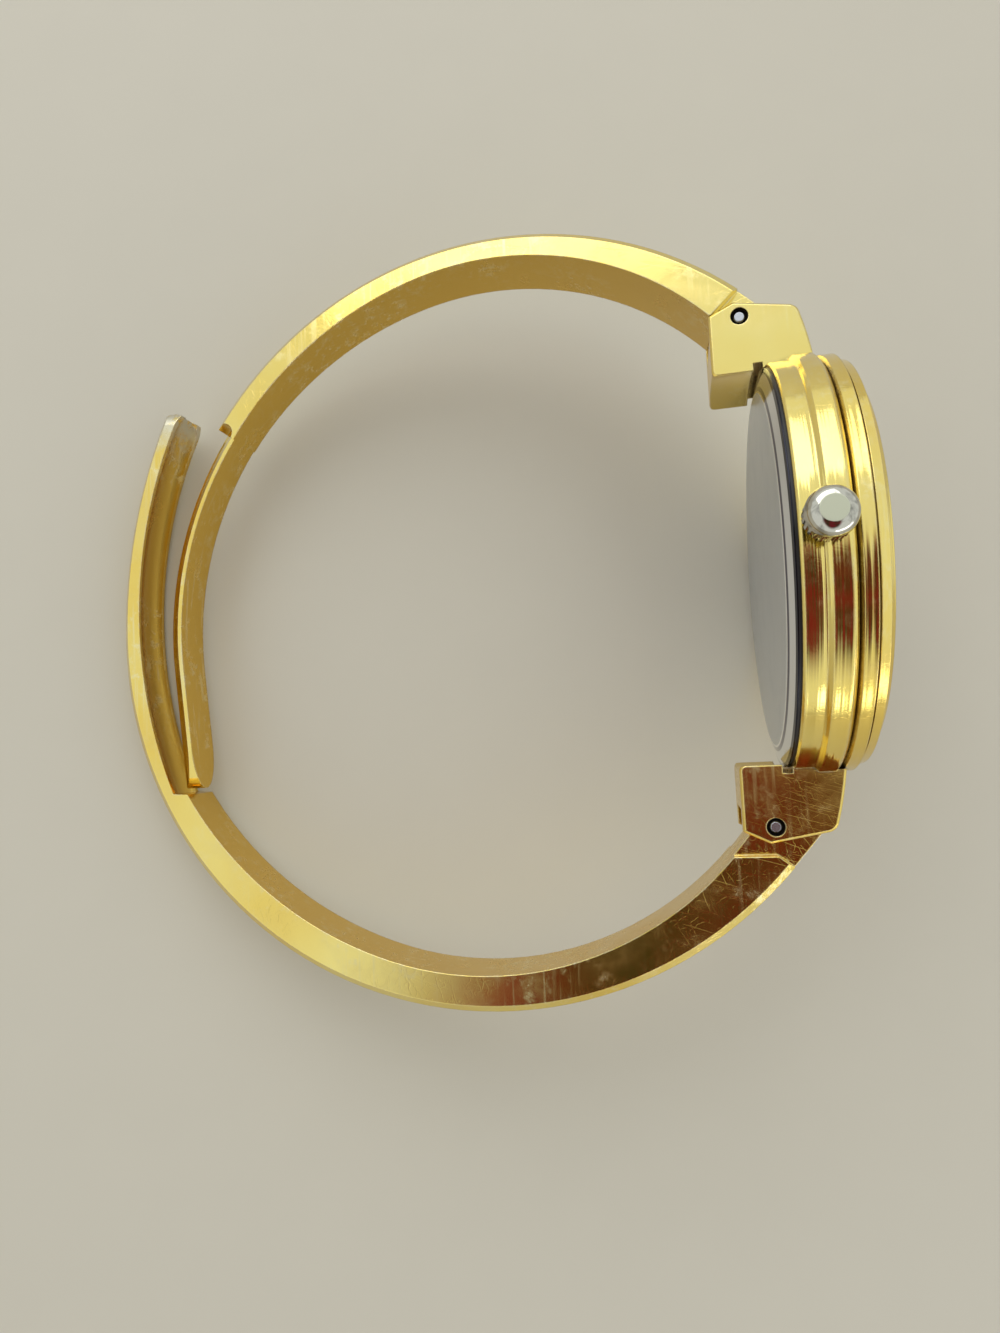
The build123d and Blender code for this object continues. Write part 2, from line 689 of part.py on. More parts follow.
def hour_hand():
    hub = hour_hub_radius()
    bore = hub - arbor_radius / 2 + fit_gap
    length = dial_radius * hour_hand_share
    return hand(length, hour_hand_width, hour_hand_x, hub * hour_boss_share, bore, shown_time_share)


def minute_hand():
    hub = cannon_post_radius()
    length = dial_radius * minute_hand_share
    return hand(length, minute_hand_width, minute_hand_x, hub * minute_boss_share, hub + fit_gap, shown_time_share * 12 % 1)


def cannon_post_radius():
    return cannon_module * (cannon_teeth / 2 - tooth_root_share)


def centre_wheel():
    wheel = gear(centre_teeth, third_module, slow_x, slow_x + wheel_thickness)
    arbor = disc(slow_x - run_gap, minute_hand_x + hand_thickness * 1.3, cannon_post_radius())
    arbor += disc(pivot_x, slow_x, arbor_radius)
    cannon = gear(cannon_teeth, cannon_module, works_x + run_gap, works_x + works_depth / 2 - run_gap)
    return wheel + arbor + cannon


def third_wheel():
    y, z = third_place
    pinion_turn = meshed_turn(third_place, (0, 0), third_pinion_teeth, centre_teeth, 0.0)
    wheel = gear(third_teeth, second_module, middle_x, middle_x + wheel_thickness, y, z, 0.0)
    pinion = gear(third_pinion_teeth, third_module, middle_x, slow_x + pinion_thickness, y, z, pinion_turn)
    arbor = disc(pivot_x, pivot_end_x, pivot_radius, y, z)
    return wheel + pinion + arbor


def intermediate_wheel():
    y, z = intermediate_place
    turn = meshed_turn(intermediate_place, third_place, intermediate_pinion_teeth, third_teeth, 0.0)
    wheel = gear(intermediate_teeth, first_module, fast_x, fast_x + wheel_thickness, y, z, 0.0)
    pinion = gear(intermediate_pinion_teeth, second_module, fast_x, middle_x + pinion_thickness, y, z, turn)
    arbor = disc(pivot_x, pivot_end_x, pivot_radius, y, z)
    return wheel + pinion + arbor


def rotor():
    place = (rotor_y, rotor_z)
    turn = meshed_turn(place, intermediate_place, rotor_teeth, intermediate_teeth, 0.0)
    magnet = disc(plate_back_x - stator_thickness * 1.3, plate_back_x - run_gap, rotor_magnet_radius, *place)
    pinion = gear(rotor_teeth, first_module, fast_x, fast_x + pinion_thickness, rotor_y, rotor_z, turn)
    arbor = disc(pivot_x, pivot_end_x, pivot_radius, *place)
    return magnet + pinion + arbor + disc(fast_x, plate_back_x - run_gap * 2, arbor_radius, *place)


def minute_wheel():
    y, z = minute_place
    turn = meshed_turn(minute_place, (0, 0), minute_teeth, cannon_teeth, 0.0)
    low = works_x + run_gap
    wheel = gear(minute_teeth, cannon_module, low, low + wheel_thickness, y, z, turn)
    pinion = gear(minute_pinion_teeth, hour_module, low, dial_x - run_gap, y, z, 0.0)
    return wheel + pinion - disc(low - overrun, dial_x + overrun, arbor_radius + run_gap / 2, y, z)


def hour_wheel():
    turn = meshed_turn((0, 0), minute_place, hour_teeth, minute_pinion_teeth, 0.0)
    low = works_x + works_depth / 2
    wheel = gear(hour_teeth, hour_module, low, low + wheel_thickness, turn=turn)
    hub = hour_hub_radius()
    pipe = disc(low, dial_x + dial_thickness, hub)
    pipe += disc(low, hour_hand_x + hand_thickness, hub - arbor_radius / 2)
    return wheel + pipe - disc(low - overrun, hour_hand_x + overrun, cannon_post_radius() + run_gap)


def setting_wheel():
    y, z = setting_place
    turn = meshed_turn(setting_place, minute_place, setting_teeth, minute_teeth,
                       meshed_turn(minute_place, (0, 0), minute_teeth, cannon_teeth, 0.0))
    low = works_x + run_gap
    wheel = gear(setting_teeth, cannon_module, low, low + wheel_thickness, y, z, turn)
    return wheel - disc(low - overrun, low + overrun, arbor_radius + run_gap / 2, y, z)


def battery_well(front):
    """The round hole that the battery lies in."""
    return disc(bridge_back_x - overrun, front, battery_radius + run_gap * 2, battery_y, battery_z)


def main_plate():
    floor = disc(plate_back_x, plate_front_x, movement_radius)
    rim = tube(bridge_front_x, plate_back_x, movement_radius - rim_wall, movement_radius)
    body = floor + rim
    body -= battery_well(plate_back_x)
    body -= disc(works_x, dial_x + overrun, works_radius)
    for y, z in (minute_place, setting_place):
        body += disc(works_x, dial_x - run_gap * 3, arbor_radius, y, z)
    body -= disc(bridge_back_x, dial_x + overrun, cannon_post_radius() + run_gap)
    for y, z in (third_place, intermediate_place, (rotor_y, rotor_z)):
        body -= disc(plate_back_x - wheel_thickness, pivot_end_x + run_gap, pivot_radius + run_gap, y, z)
    coil_y = stator_outer_y - core_width / 2
    trench = winding_radius + run_gap * 2
    body -= box_yz(bridge_front_x, coil_axis_x() + trench, coil_y - trench, coil_y + trench,
                   winding_start - run_gap, winding_end + run_gap)
    body -= box_yz(bridge_front_x, plate_back_x, stator_y, stator_outer_y + run_gap,
                   -stator_half_length - run_gap, stator_half_length + run_gap)
    body -= post(pinion_start, movement_radius + overrun, stem_radius + run_gap)
    for y, z in screw_places():
        body -= disc(bridge_front_x - overrun, bridge_front_x + screw_length, screw_radius + fit_gap, y, z)
    return body


def coil_axis_x():
    return plate_back_x - stator_thickness - core_thickness / 2


def screw_places():
    return [polar(screw_ring_radius, bearing) for bearing in screw_bearings]


def train_bridge():
    body = disc(bridge_back_x, bridge_front_x, movement_radius - run_gap)
    body -= battery_well(bridge_front_x + overrun)
    for y, z in (third_place, intermediate_place, (rotor_y, rotor_z)):
        body -= disc(bridge_back_x, bridge_front_x + overrun, pivot_radius + run_gap, y, z)
    body -= disc(bridge_back_x, bridge_front_x + overrun, arbor_radius + run_gap)
    head_x = bridge_back_x + screw_head_height
    for y, z in screw_places():
        body -= disc(bridge_back_x - overrun, bridge_front_x + overrun, screw_radius + fit_gap, y, z)
        body -= disc(bridge_back_x - overrun, head_x, screw_head_radius + run_gap, y, z)
    return body


def bridge_screws():
    screws = []
    for y, z in screw_places():
        head = disc(bridge_back_x, bridge_back_x + screw_head_height, screw_head_radius, y, z)
        shank = disc(bridge_back_x + screw_head_height, bridge_back_x + screw_length, screw_radius, y, z)
        slot_floor = bridge_back_x + screw_head_height / 2
        slot = box_yz(bridge_back_x - overrun, slot_floor, y - overrun, y + overrun,
                      z - screw_radius / 4, z + screw_radius / 4)
        screws.append(head + shank - slot)
    return Compound(children=screws)


def battery():
    front = plate_back_x - foil
    can = disc(front - battery_height, front, battery_radius, battery_y, battery_z)
    step = tube(front - battery_height / 4, front, battery_radius * cell_step_share,
                battery_radius + run_gap, battery_y, battery_z)
    return can - step


def battery_insulator():
    return disc(plate_back_x - foil, plate_back_x, battery_radius, battery_y, battery_z)


def battery_clamp():
    """A springy strip across the battery, held by the screw beside it."""
    back = plate_back_x - foil - battery_height
    y, z = screw_places()[2]
    length = math.hypot(battery_y - y, battery_z - z)
    lean = math.degrees(math.atan2(battery_z - z, battery_y - y))
    front = min(back, bridge_back_x)
    reach = length + battery_radius / 2
    strip = box_yz(front - clamp_thickness, front, 0, reach, -clamp_width / 2, clamp_width / 2)
    return Pos(0, y, z) * Rot(lean, 0, 0) * strip


def circuit_board():
    y0, y1, z0, z1 = board_area()
    return box_yz(bridge_front_x, bridge_front_x + board_thickness, y0, y1, z0, z1)


def board_area():
    far = movement_radius - rim_wall
    y_share, z_share = board_reach_shares
    return -far * y_share, -stem_radius * 4, stem_radius * 1.5, far * z_share


def circuit_chip():
    y0, y1, z0, z1 = board_area()
    low = bridge_front_x + board_thickness
    half = chip_side / 2
    y, z = y1 - half * chip_edge_share, (z0 + z1) / 2
    return box_yz(low, low + chip_height, y - half, y + half, z - half, z + half)


def quartz_can():
    y0, y1, z0, z1 = board_area()
    middle = (z0 + z1) / 2
    x = bridge_front_x + board_thickness + can_radius
    return post(middle - can_length / 2, middle + can_length / 2, can_radius, x, y0 + can_radius * can_edge_share)


def stator():
    x0, x1 = plate_back_x - stator_thickness, plate_back_x
    long = stator_half_length
    lobe = box_yz(x0, x1, stator_y, stator_outer_y, rotor_z - stator_arm, long)
    arm = box_yz(x0, x1, stator_y, stator_y + stator_arm, -long, rotor_z)
    foot = box_yz(x0, x1, stator_y, stator_outer_y, -long, -long + stator_arm)
    body = lobe + arm + foot
    return body - disc(x0 - overrun, x1 + overrun, rotor_magnet_radius + run_gap * 3, rotor_y, rotor_z)


def coil_core():
    x1 = plate_back_x - stator_thickness
    return box_yz(x1 - core_thickness, x1, stator_outer_y - core_width, stator_outer_y,
                  -stator_half_length, stator_half_length)


def coil_winding():
    y = stator_outer_y - core_width / 2
    body = post(winding_start, winding_end, winding_radius, coil_axis_x(), y)
    x1 = plate_back_x - stator_thickness
    return body - box_yz(x1 - core_thickness, x1, y - core_width / 2, y + core_width / 2,
                         -stator_half_length, stator_half_length)


def crown_tube():
    body = post(bore_radius + run_gap, case_radius + tube_reach, tube_radius)
    return body - post(0, case_radius + overrun, tube_bore)


def crown_gasket():
    top = case_radius + tube_reach
    room = crown_radius - crown_flute_depth - crown_wall
    ring = post(top - spring_wire, top, room - seal_gap)
    return ring - post(0, case_radius + overrun, tube_radius + seal_gap)


def notches(z0, z1, radius, depth, count):
    """Vee grooves along Z, spaced evenly round the crown's axis."""
    half = depth * vee_share
    vee = Polyline((radius - depth, 0), (radius + depth, half), (radius + depth, -half), close=True)
    cut = extrude(make_face(vee), z1 - z0)
    return [Pos(crown_x, 0, z0) * Rot(0, 0, turn * 360 / count) * cut for turn in range(count)]


def crown():
    end = crown_start + crown_length
    shoulder = end - crown_shoulder
    mid_radius = crown_cap_radius + (crown_radius - crown_cap_radius) * crown_dome_share
    side = Polyline((crown_x, end), (crown_x, crown_start), (crown_x + crown_radius, crown_start),
                    (crown_x + crown_radius, shoulder))
    bend = (crown_x + mid_radius, shoulder + crown_shoulder * crown_dome_share)
    dome = ThreePointArc((crown_x + crown_radius, shoulder), bend, (crown_x + crown_cap_radius, end))
    flat = Line((crown_x + crown_cap_radius, end), (crown_x, end))
    body = revolve(Plane.XZ * make_face(Curve() + [side, dome, flat]), Axis((crown_x, 0, 0), (0, 0, 1)))
    body -= notches(crown_start - overrun, shoulder, crown_radius, crown_flute_depth, crown_flutes)
    room = crown_radius - crown_flute_depth - crown_wall
    return body - post(crown_start - overrun, end - crown_wall * 1.5, room)


def winding_stem():
    end = crown_start + crown_length - crown_wall * 1.5
    body = post(pinion_start + pinion_length, end, stem_radius)
    half = stem_square / 2
    square = extrude(Plane.XY.offset(stem_end) * Pos(crown_x, 0) * Rectangle(half * 2, half * 2),
                     pinion_start + pinion_length - stem_end)
    groove = post(stem_groove, stem_groove + lever_thickness * 1.5, stem_radius + overrun / 3)
    groove -= post(stem_groove - overrun, stem_groove + overrun, stem_radius * stem_neck_share)
    return body + square - groove


def sliding_pinion():
    half = stem_square / 2 + run_gap
    body = post(pinion_start, pinion_start + pinion_length, clutch_radius)
    face = pinion_start + pinion_length / 2
    body -= notches(pinion_start - overrun, face, clutch_radius, clutch_radius / 7, clutch_teeth)
    hole = extrude(Plane.XY.offset(stem_end - overrun) * Pos(crown_x, 0) * Rectangle(half * 2, half * 2),
                   pinion_length + overrun * 2)
    return body - hole


nose_z = stem_groove + lever_thickness * 0.75
lever_pivot = (stem_radius * lever_reach_share, nose_z + crown_pull / 2)


def setting_lever():
    """A lever whose nose lies in the stem's groove, so that it turns as the stem is pulled."""
    y, z = lever_pivot
    x0 = crown_x - lever_thickness / 2
    eye, tip_y = stem_radius * lever_eye_share, stem_radius * lever_tip_share
    half = lever_thickness * lever_nose_share
    outline = [(y, z + eye * 0.8), (tip_y + half * 2, nose_z + half), (tip_y, nose_z + half),
               (tip_y, nose_z - half), (tip_y + half * 2, nose_z - half), (y, z - eye * 0.8)]
    body = plate(x0, x0 + lever_thickness, outline) + disc(x0, x0 + lever_thickness, eye, y, z)
    return body - disc(x0 - overrun, x0 + overrun, arbor_radius + run_gap, y, z)


def plate_with_lever_post():
    y, z = lever_pivot
    return main_plate() + disc(crown_x - lever_thickness, plate_back_x, arbor_radius, y, z)


def resting_lean():
    """The angle that lays the edge of the case and the back of the bangle on one table."""
    far_x = outer_back_share[0] * bangle_depth
    far_half = band_root_width / 2 + (band_root_width - outer_tip_width) / bangle_depth / 2 * far_x
    edge_x, edge_radius = rim_x + edge_break, flank_radius
    belt = (belt_x + bead_round, case_radius)
    leans = [math.atan2(radius - far_half, x - far_x) for x, radius in ((edge_x, edge_radius), belt)]
    return math.degrees(max(leans))


nodes = {
    "case_middle": case_middle, "bezel": bezel, "crystal": crystal, "crystal_gasket": crystal_gasket,
    "case_back": case_back, "case_back_gasket": case_back_gasket, "movement_ring": movement_ring,
    "dial": dial, "dial_ring": dial_ring, "dial_markers": dial_markers, "hour_hand": hour_hand,
    "minute_hand": minute_hand, "main_plate": plate_with_lever_post, "train_bridge": train_bridge,
    "bridge_screws": bridge_screws, "battery": battery, "battery_insulator": battery_insulator,
    "battery_clamp": battery_clamp, "circuit_board": circuit_board, "circuit_chip": circuit_chip,
    "quartz_can": quartz_can, "coil_core": coil_core, "coil_winding": coil_winding, "stator": stator,
    "rotor": rotor, "intermediate_wheel": intermediate_wheel, "third_wheel": third_wheel,
    "centre_wheel": centre_wheel, "minute_wheel": minute_wheel, "hour_wheel": hour_wheel,
    "setting_wheel": setting_wheel, "sliding_pinion": sliding_pinion, "winding_stem": winding_stem,
    "setting_lever": setting_lever, "crown": crown, "crown_tube": crown_tube, "crown_gasket": crown_gasket,
    "inner_half": build_inner_half, "outer_half": build_outer_half,
    "hinge_pin_6": lambda: hinge_pin(1), "hinge_pin_12": lambda: hinge_pin(-1),
    "hinge_spring_6": lambda: hinge_spring(1), "hinge_spring_12": lambda: hinge_spring(-1),
}

lean = resting_lean()
bodies = {name: Rot(0, -lean, 0) * make() for name, make in nodes.items()}
whole = Compound(children=[Compound(body.wrapped) for body in bodies.values()]).bounding_box()
origin = Vector((whole.min.X + whole.max.X) / 2, (whole.min.Y + whole.max.Y) / 2, whole.min.Z)
print("lean", round(lean, 3), "shift", -origin)
os.makedirs("parts", exist_ok=True)
for name, body in bodies.items():
    export_step(Pos(-origin.X, -origin.Y, -origin.Z) * body, f"parts/{name}.step")
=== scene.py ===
import json
import math

import bpy
from bpy.props import FloatProperty, FloatVectorProperty, PointerProperty
from mathutils import Matrix, Vector


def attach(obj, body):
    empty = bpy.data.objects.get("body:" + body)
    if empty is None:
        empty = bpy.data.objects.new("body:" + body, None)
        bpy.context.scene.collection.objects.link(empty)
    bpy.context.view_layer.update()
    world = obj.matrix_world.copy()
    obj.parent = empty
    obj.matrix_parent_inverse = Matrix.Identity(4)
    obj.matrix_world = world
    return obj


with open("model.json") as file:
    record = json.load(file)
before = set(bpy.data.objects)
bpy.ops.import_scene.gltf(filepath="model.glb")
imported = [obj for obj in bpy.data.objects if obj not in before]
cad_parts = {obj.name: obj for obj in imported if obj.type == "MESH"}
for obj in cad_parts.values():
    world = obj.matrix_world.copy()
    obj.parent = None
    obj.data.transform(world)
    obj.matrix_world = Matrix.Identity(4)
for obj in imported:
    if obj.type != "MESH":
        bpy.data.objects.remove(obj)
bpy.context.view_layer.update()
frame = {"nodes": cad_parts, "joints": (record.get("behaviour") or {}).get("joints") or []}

bl_info = {
    "name": "Bangle Watch",
    "version": (1, 0, 0),
    "blender": (4, 5, 0),
    "location": "3D View > Sidebar > Watch",
    "description": "Dresses the packed bangle watch and sets its stage",
    "category": "Object",
}

MM = 0.001
NODES = frame["nodes"]
JOINTS = {joint["name"]: joint for joint in frame["joints"]}
PIN_12 = Vector(JOINTS["outer_half_hinge"]["pos_m"])
PIN_6 = Vector(JOINTS["inner_half_hinge"]["pos_m"])


def watch_frame():
    """The watch's own frame in the row: X out of the dial, Y from 12 to 6 o'clock, Z towards the crown."""
    towards_crown = Vector(JOINTS["outer_half_hinge"]["axis"]).normalized()
    towards_6 = (PIN_6 - PIN_12).normalized()
    out_of_dial = towards_6.cross(towards_crown)
    turn = Matrix((out_of_dial, towards_6, towards_crown)).transposed().to_4x4()
    return Matrix.Translation((PIN_12 + PIN_6) / 2) @ turn


WATCH = watch_frame()
HALF_SPREAD = (PIN_6 - PIN_12).length / 2

BACK_FACE_RADIUS = 13.2 * MM     # of the flat on the steel back, inside its bevel
CROWN_FACE_RADIUS = 0.78 * MM    # of the flat on the crown's end
CROWN_LINE = 2.9 * MM            # the crown's axis, measured from the line through the pins
# Colours of the back from its dark edge inwards, which paint the room's reflections onto its bevel: a bright
# painted reflection over the bevel, a dark painted line inside it, a painted highlight line at its inner
# edge, and the flat's own colour
BACK_PAINTED_REFLECTIONS = ((14.52, (0.80, 0.82, 0.86)), (13.62, (0.10, 0.09, 0.13)), (13.32, (0.92, 0.93, 0.95)),
              (13.16, (0.58, 0.60, 0.63)))
DIAL_FACE = 4.9 * MM             # the dial's front, measured from the line through the pins

TIP_PLACE = (-49.2 * MM, 0.968 * HALF_SPREAD, 0)    # near the worn tip of the outer half
WRIST_MIDDLE = (-24 * MM, 0, 0)                     # the middle of the wrist, which the bangle's insides face
PIN_DARK_RING = (0.00063, 0.00068)                       # radii between which the near-black ring round a pin fades out

# The photograph's camera in the watch's frame
CAMERA_PLACE = Vector((-5.80, -11.86, 67.24)) * MM
CAMERA_RIGHT = Vector((0.9759, -0.0452, -0.2135))
CAMERA_UP = Vector((0.0624, 0.9953, 0.0746))
CAMERA_LENS = 22.96


class WatchFinish(bpy.types.PropertyGroup):
    """Colours and wear of the watch's finishes."""
    gold: FloatVectorProperty(name="Gold plating", description="Colour of the polished gold plating",
                              subtype="COLOR", size=3, min=0, max=1, default=(0.90, 0.75, 0.26))
    gold_deep: FloatVectorProperty(name="Deep gold", description="Colour of the plating where it is richer",
                                   subtype="COLOR", size=3, min=0, max=1, default=(0.85, 0.60, 0.12))
    # Amber for faces that look into the ring: painted shade of the ring's inside.
    amber: FloatVectorProperty(name="Painted inner shade", description="Colour of the plating that touches the skin",
                               subtype="COLOR", size=3, min=0, max=1, default=(0.76, 0.50, 0.10))
    rubbed: FloatVectorProperty(name="Rubbed plating", description="Colour of the rubbed specks",
                                subtype="COLOR", size=3, min=0, max=1, default=(0.88, 0.82, 0.52))
    worn: FloatVectorProperty(name="Worn metal", description="Colour of the metal under worn plating",
                              subtype="COLOR", size=3, min=0, max=1, default=(0.66, 0.64, 0.56))
    steel: FloatVectorProperty(name="Steel", description="Colour of the case back and pins",
                               subtype="COLOR", size=3, min=0, max=1, default=(0.62, 0.64, 0.68))
    crown: FloatVectorProperty(name="Crown plating", description="Colour of the crown",
                               subtype="COLOR", size=3, min=0, max=1, default=(0.58, 0.56, 0.49))
    dial: FloatVectorProperty(name="Dial", description="Colour of the dial's lacquer",
                              subtype="COLOR", size=3, min=0, max=1, default=(0.93, 0.89, 0.78))
    scratch_depth: FloatProperty(name="Scratch depth", description="Depth of the fine scratches",
                                 subtype="DISTANCE", unit="LENGTH", default=0.0000030, precision=7)


class WatchDial(bpy.types.PropertyGroup):
    """Sizes of the track and numerals printed on the dial."""
    track_radius: FloatProperty(name="Track radius", description="Radius of the middle of the minute track",
                                unit="LENGTH", default=0.0109, precision=5)
    minute_length: FloatProperty(name="Minute mark", description="Length of each minute mark",
                                 unit="LENGTH", default=0.0005, precision=5)
    minute_width: FloatProperty(name="Minute mark width", description="Width of each minute mark",
                                unit="LENGTH", default=0.00009, precision=5)
    numeral_height: FloatProperty(name="Numerals", description="Height of the hour numerals",
                                  unit="LENGTH", default=0.0015, precision=5)
    numeral_radius: FloatProperty(name="Numeral radius", description="Distance from the centre",
                                  unit="LENGTH", default=0.0074, precision=5)
    print_height: FloatProperty(name="Print height", description="Thickness of the printed lacquer",
                                unit="LENGTH", default=0.00002, precision=6)


class WatchStage(bpy.types.PropertyGroup):
    """The stage that the watch lies on."""
    floor: FloatVectorProperty(name="Floor", description="Colour of the floor", subtype="COLOR", size=3,
                               min=0, max=1, default=(0.60, 0.56, 0.47))
    floor_size: FloatProperty(name="Floor size", description="Side of the floor", unit="LENGTH", default=4.0)
    key_power: FloatProperty(name="Key lamp", description="Power of the key lamp in watts", default=0.86)
    fill_power: FloatProperty(name="Fill lamp", description="Power of the fill lamp in watts", default=0.4)
    sky_strength: FloatProperty(name="Surroundings", description="Brightness of the room", default=0.90)


def finish():
    return bpy.context.scene.watch_finish


def stage():
    return bpy.context.scene.watch_stage


def dial_print():
    return bpy.context.scene.watch_dial


def new_group(name, inputs, outputs):
    """An empty shader node group with these sockets: (name, kind, default)."""
    group = bpy.data.node_groups.new(name, "ShaderNodeTree")
    for label, kind, value in inputs:
        socket = group.interface.new_socket(name=label, in_out="INPUT", socket_type="NodeSocket" + kind)
        if value is not None:
            socket.default_value = value
    for label, kind in outputs:
        group.interface.new_socket(name=label, in_out="OUTPUT", socket_type="NodeSocket" + kind)
    start = group.nodes.new("NodeGroupInput")
    end = group.nodes.new("NodeGroupOutput")
    return group, start, end


def add(tree, kind, values=(), **settings):
    """A node with these settings and socket values."""
    node = tree.nodes.new("ShaderNode" + kind)
    for key, value in settings.items():
        setattr(node, key, value)
    for key, value in dict(values).items():
        node.inputs[key].default_value = value
    return node


def math_node(tree, operation, first, second=None):
    """A Math node on sockets or plain numbers, and its result."""
    node = tree.nodes.new("ShaderNodeMath")
    node.operation = operation
    for index, value in enumerate((first, second)):
        if value is None:
            continue
        if hasattr(value, "is_output"):
            tree.links.new(value, node.inputs[index])
        else:
            node.inputs[index].default_value = value
    return node.outputs[0]


def ramp(tree, source, low, high, out_low=0.0, out_high=1.0):
    """Maps source from low..high to out_low..out_high, held at both ends."""
    node = tree.nodes.new("ShaderNodeMapRange")
    tree.links.new(source, node.inputs["Value"])
    node.inputs["From Min"].default_value = low
    node.inputs["From Max"].default_value = high
    node.inputs["To Min"].default_value = out_low
    node.inputs["To Max"].default_value = out_high
    return node.outputs["Result"]


def mix_colour(tree, factor, first, second):
    """A colour between first and second."""
    node = tree.nodes.new("ShaderNodeMix")
    node.data_type = "RGBA"
    for key, value in (("Factor", factor), (6, first), (7, second)):
        if hasattr(value, "is_output"):
            tree.links.new(value, node.inputs[key])
        else:
            node.inputs[key].default_value = value if key == "Factor" else (*value[:3], 1)
    return node.outputs[2]


def use_group(tree, group, **values):
    node = tree.nodes.new("ShaderNodeGroup")
    node.node_tree = group
    for key, value in values.items():
        socket = node.inputs[key.replace("_", " ")]
        if hasattr(value, "is_output"):
            tree.links.new(value, socket)
        else:
            socket.default_value = value
    return node


def fine_scratches_group():
    """Hairline scratches in three directions, as a height and a mask."""
    group, start, end = new_group(
        "Fine Scratches",
        [("Scale", "Float", 900.0), ("Stretch", "Float", 14.0), ("Amount", "Float", 0.5),
         ("Seed", "Float", 0.0)],
        [("Height", "Float"), ("Mask", "Float")])
    coords = add(group, "TexCoord")
    heights = []
    for index, (turn_y, turn_z) in enumerate(((0.25, 0.3), (0.1, 1.25), (-0.2, 2.4))):
        mapping = add(group, "Mapping", {"Rotation": (0.4 * index, turn_y, turn_z)})
        group.links.new(coords.outputs["Object"], mapping.inputs["Vector"])
        squash = add(group, "VectorMath", operation="MULTIPLY")
        group.links.new(mapping.outputs["Vector"], squash.inputs[0])
        combine = add(group, "CombineXYZ", {"Y": 1.0, "Z": 1.0})
        group.links.new(math_node(group, "DIVIDE", 1.0, start.outputs["Stretch"]), combine.inputs["X"])
        group.links.new(combine.outputs[0], squash.inputs[1])
        noise = add(group, "TexNoise", {"Detail": 2.0, "Roughness": 0.6, "Distortion": 0.15},
                    noise_dimensions="4D")
        group.links.new(squash.outputs[0], noise.inputs["Vector"])
        group.links.new(start.outputs["Scale"], noise.inputs["Scale"])
        group.links.new(math_node(group, "ADD", start.outputs["Seed"], index * 7.3), noise.inputs["W"])
        line = math_node(group, "ABSOLUTE", math_node(group, "SUBTRACT", noise.outputs[0], 0.5))
        heights.append(ramp(group, line, 0.0, 0.012, 1.0, 0.0))
    both = math_node(group, "MAXIMUM", heights[0], math_node(group, "MAXIMUM", heights[1], heights[2]))
    patches = add(group, "TexNoise", {"Scale": 140.0, "Detail": 2.0})
    group.links.new(coords.outputs["Object"], patches.inputs["Vector"])
    held = math_node(group, "MULTIPLY", both, ramp(group, patches.outputs[0], 0.42, 0.62))
    mask = math_node(group, "MULTIPLY", held, start.outputs["Amount"])
    group.links.new(mask, end.inputs["Mask"])
    group.links.new(math_node(group, "MULTIPLY", mask, -1.0), end.inputs["Height"])
    return group


def smudges_group():
    """Fingerprint-sized patches of dull film, as a mask from 0 to 1."""
    group, start, end = new_group("Smudges", [("Scale", "Float", 220.0), ("Amount", "Float", 0.5)],
                                  [("Mask", "Float")])
    coords = add(group, "TexCoord")
    large = add(group, "TexNoise", {"Detail": 3.0, "Roughness": 0.55, "Distortion": 0.6})
    group.links.new(coords.outputs["Object"], large.inputs["Vector"])
    group.links.new(start.outputs["Scale"], large.inputs["Scale"])
    small = add(group, "TexNoise", {"Scale": 2600.0, "Detail": 2.0})
    group.links.new(coords.outputs["Object"], small.inputs["Vector"])
    film = ramp(group, large.outputs[0], 0.46, 0.68)
    grain = ramp(group, small.outputs[0], 0.3, 0.7, 0.6, 1.0)
    both = math_node(group, "MULTIPLY", film, grain)
    group.links.new(math_node(group, "MULTIPLY", both, start.outputs["Amount"]), end.inputs["Mask"])
    return group


def edge_wear_group():
    """Rounded-edge normals and a mask of the worn edges."""
    group, start, end = new_group(
        "Edge Wear", [("Round", "Float", 0.00012), ("Wear Width", "Float", 0.0003), ("Amount", "Float", 0.6)],
        [("Normal", "Vector"), ("Mask", "Float")])
    rounding = add(group, "Bevel", samples=6)
    group.links.new(start.outputs["Round"], rounding.inputs["Radius"])
    wide = add(group, "Bevel", samples=6)
    group.links.new(start.outputs["Wear Width"], wide.inputs["Radius"])
    geometry = add(group, "NewGeometry")
    dot = add(group, "VectorMath", operation="DOT_PRODUCT")
    group.links.new(wide.outputs[0], dot.inputs[0])
    group.links.new(geometry.outputs["Normal"], dot.inputs[1])
    near = ramp(group, dot.outputs["Value"], 0.985, 0.80)
    coords = add(group, "TexCoord")
    noise = add(group, "TexNoise", {"Scale": 900.0, "Detail": 4.0, "Roughness": 0.65})
    group.links.new(coords.outputs["Object"], noise.inputs["Vector"])
    broken = math_node(group, "MULTIPLY", near, ramp(group, noise.outputs[0], 0.40, 0.60))
    group.links.new(rounding.outputs[0], end.inputs["Normal"])
    group.links.new(math_node(group, "MULTIPLY", broken, start.outputs["Amount"]), end.inputs["Mask"])
    return group


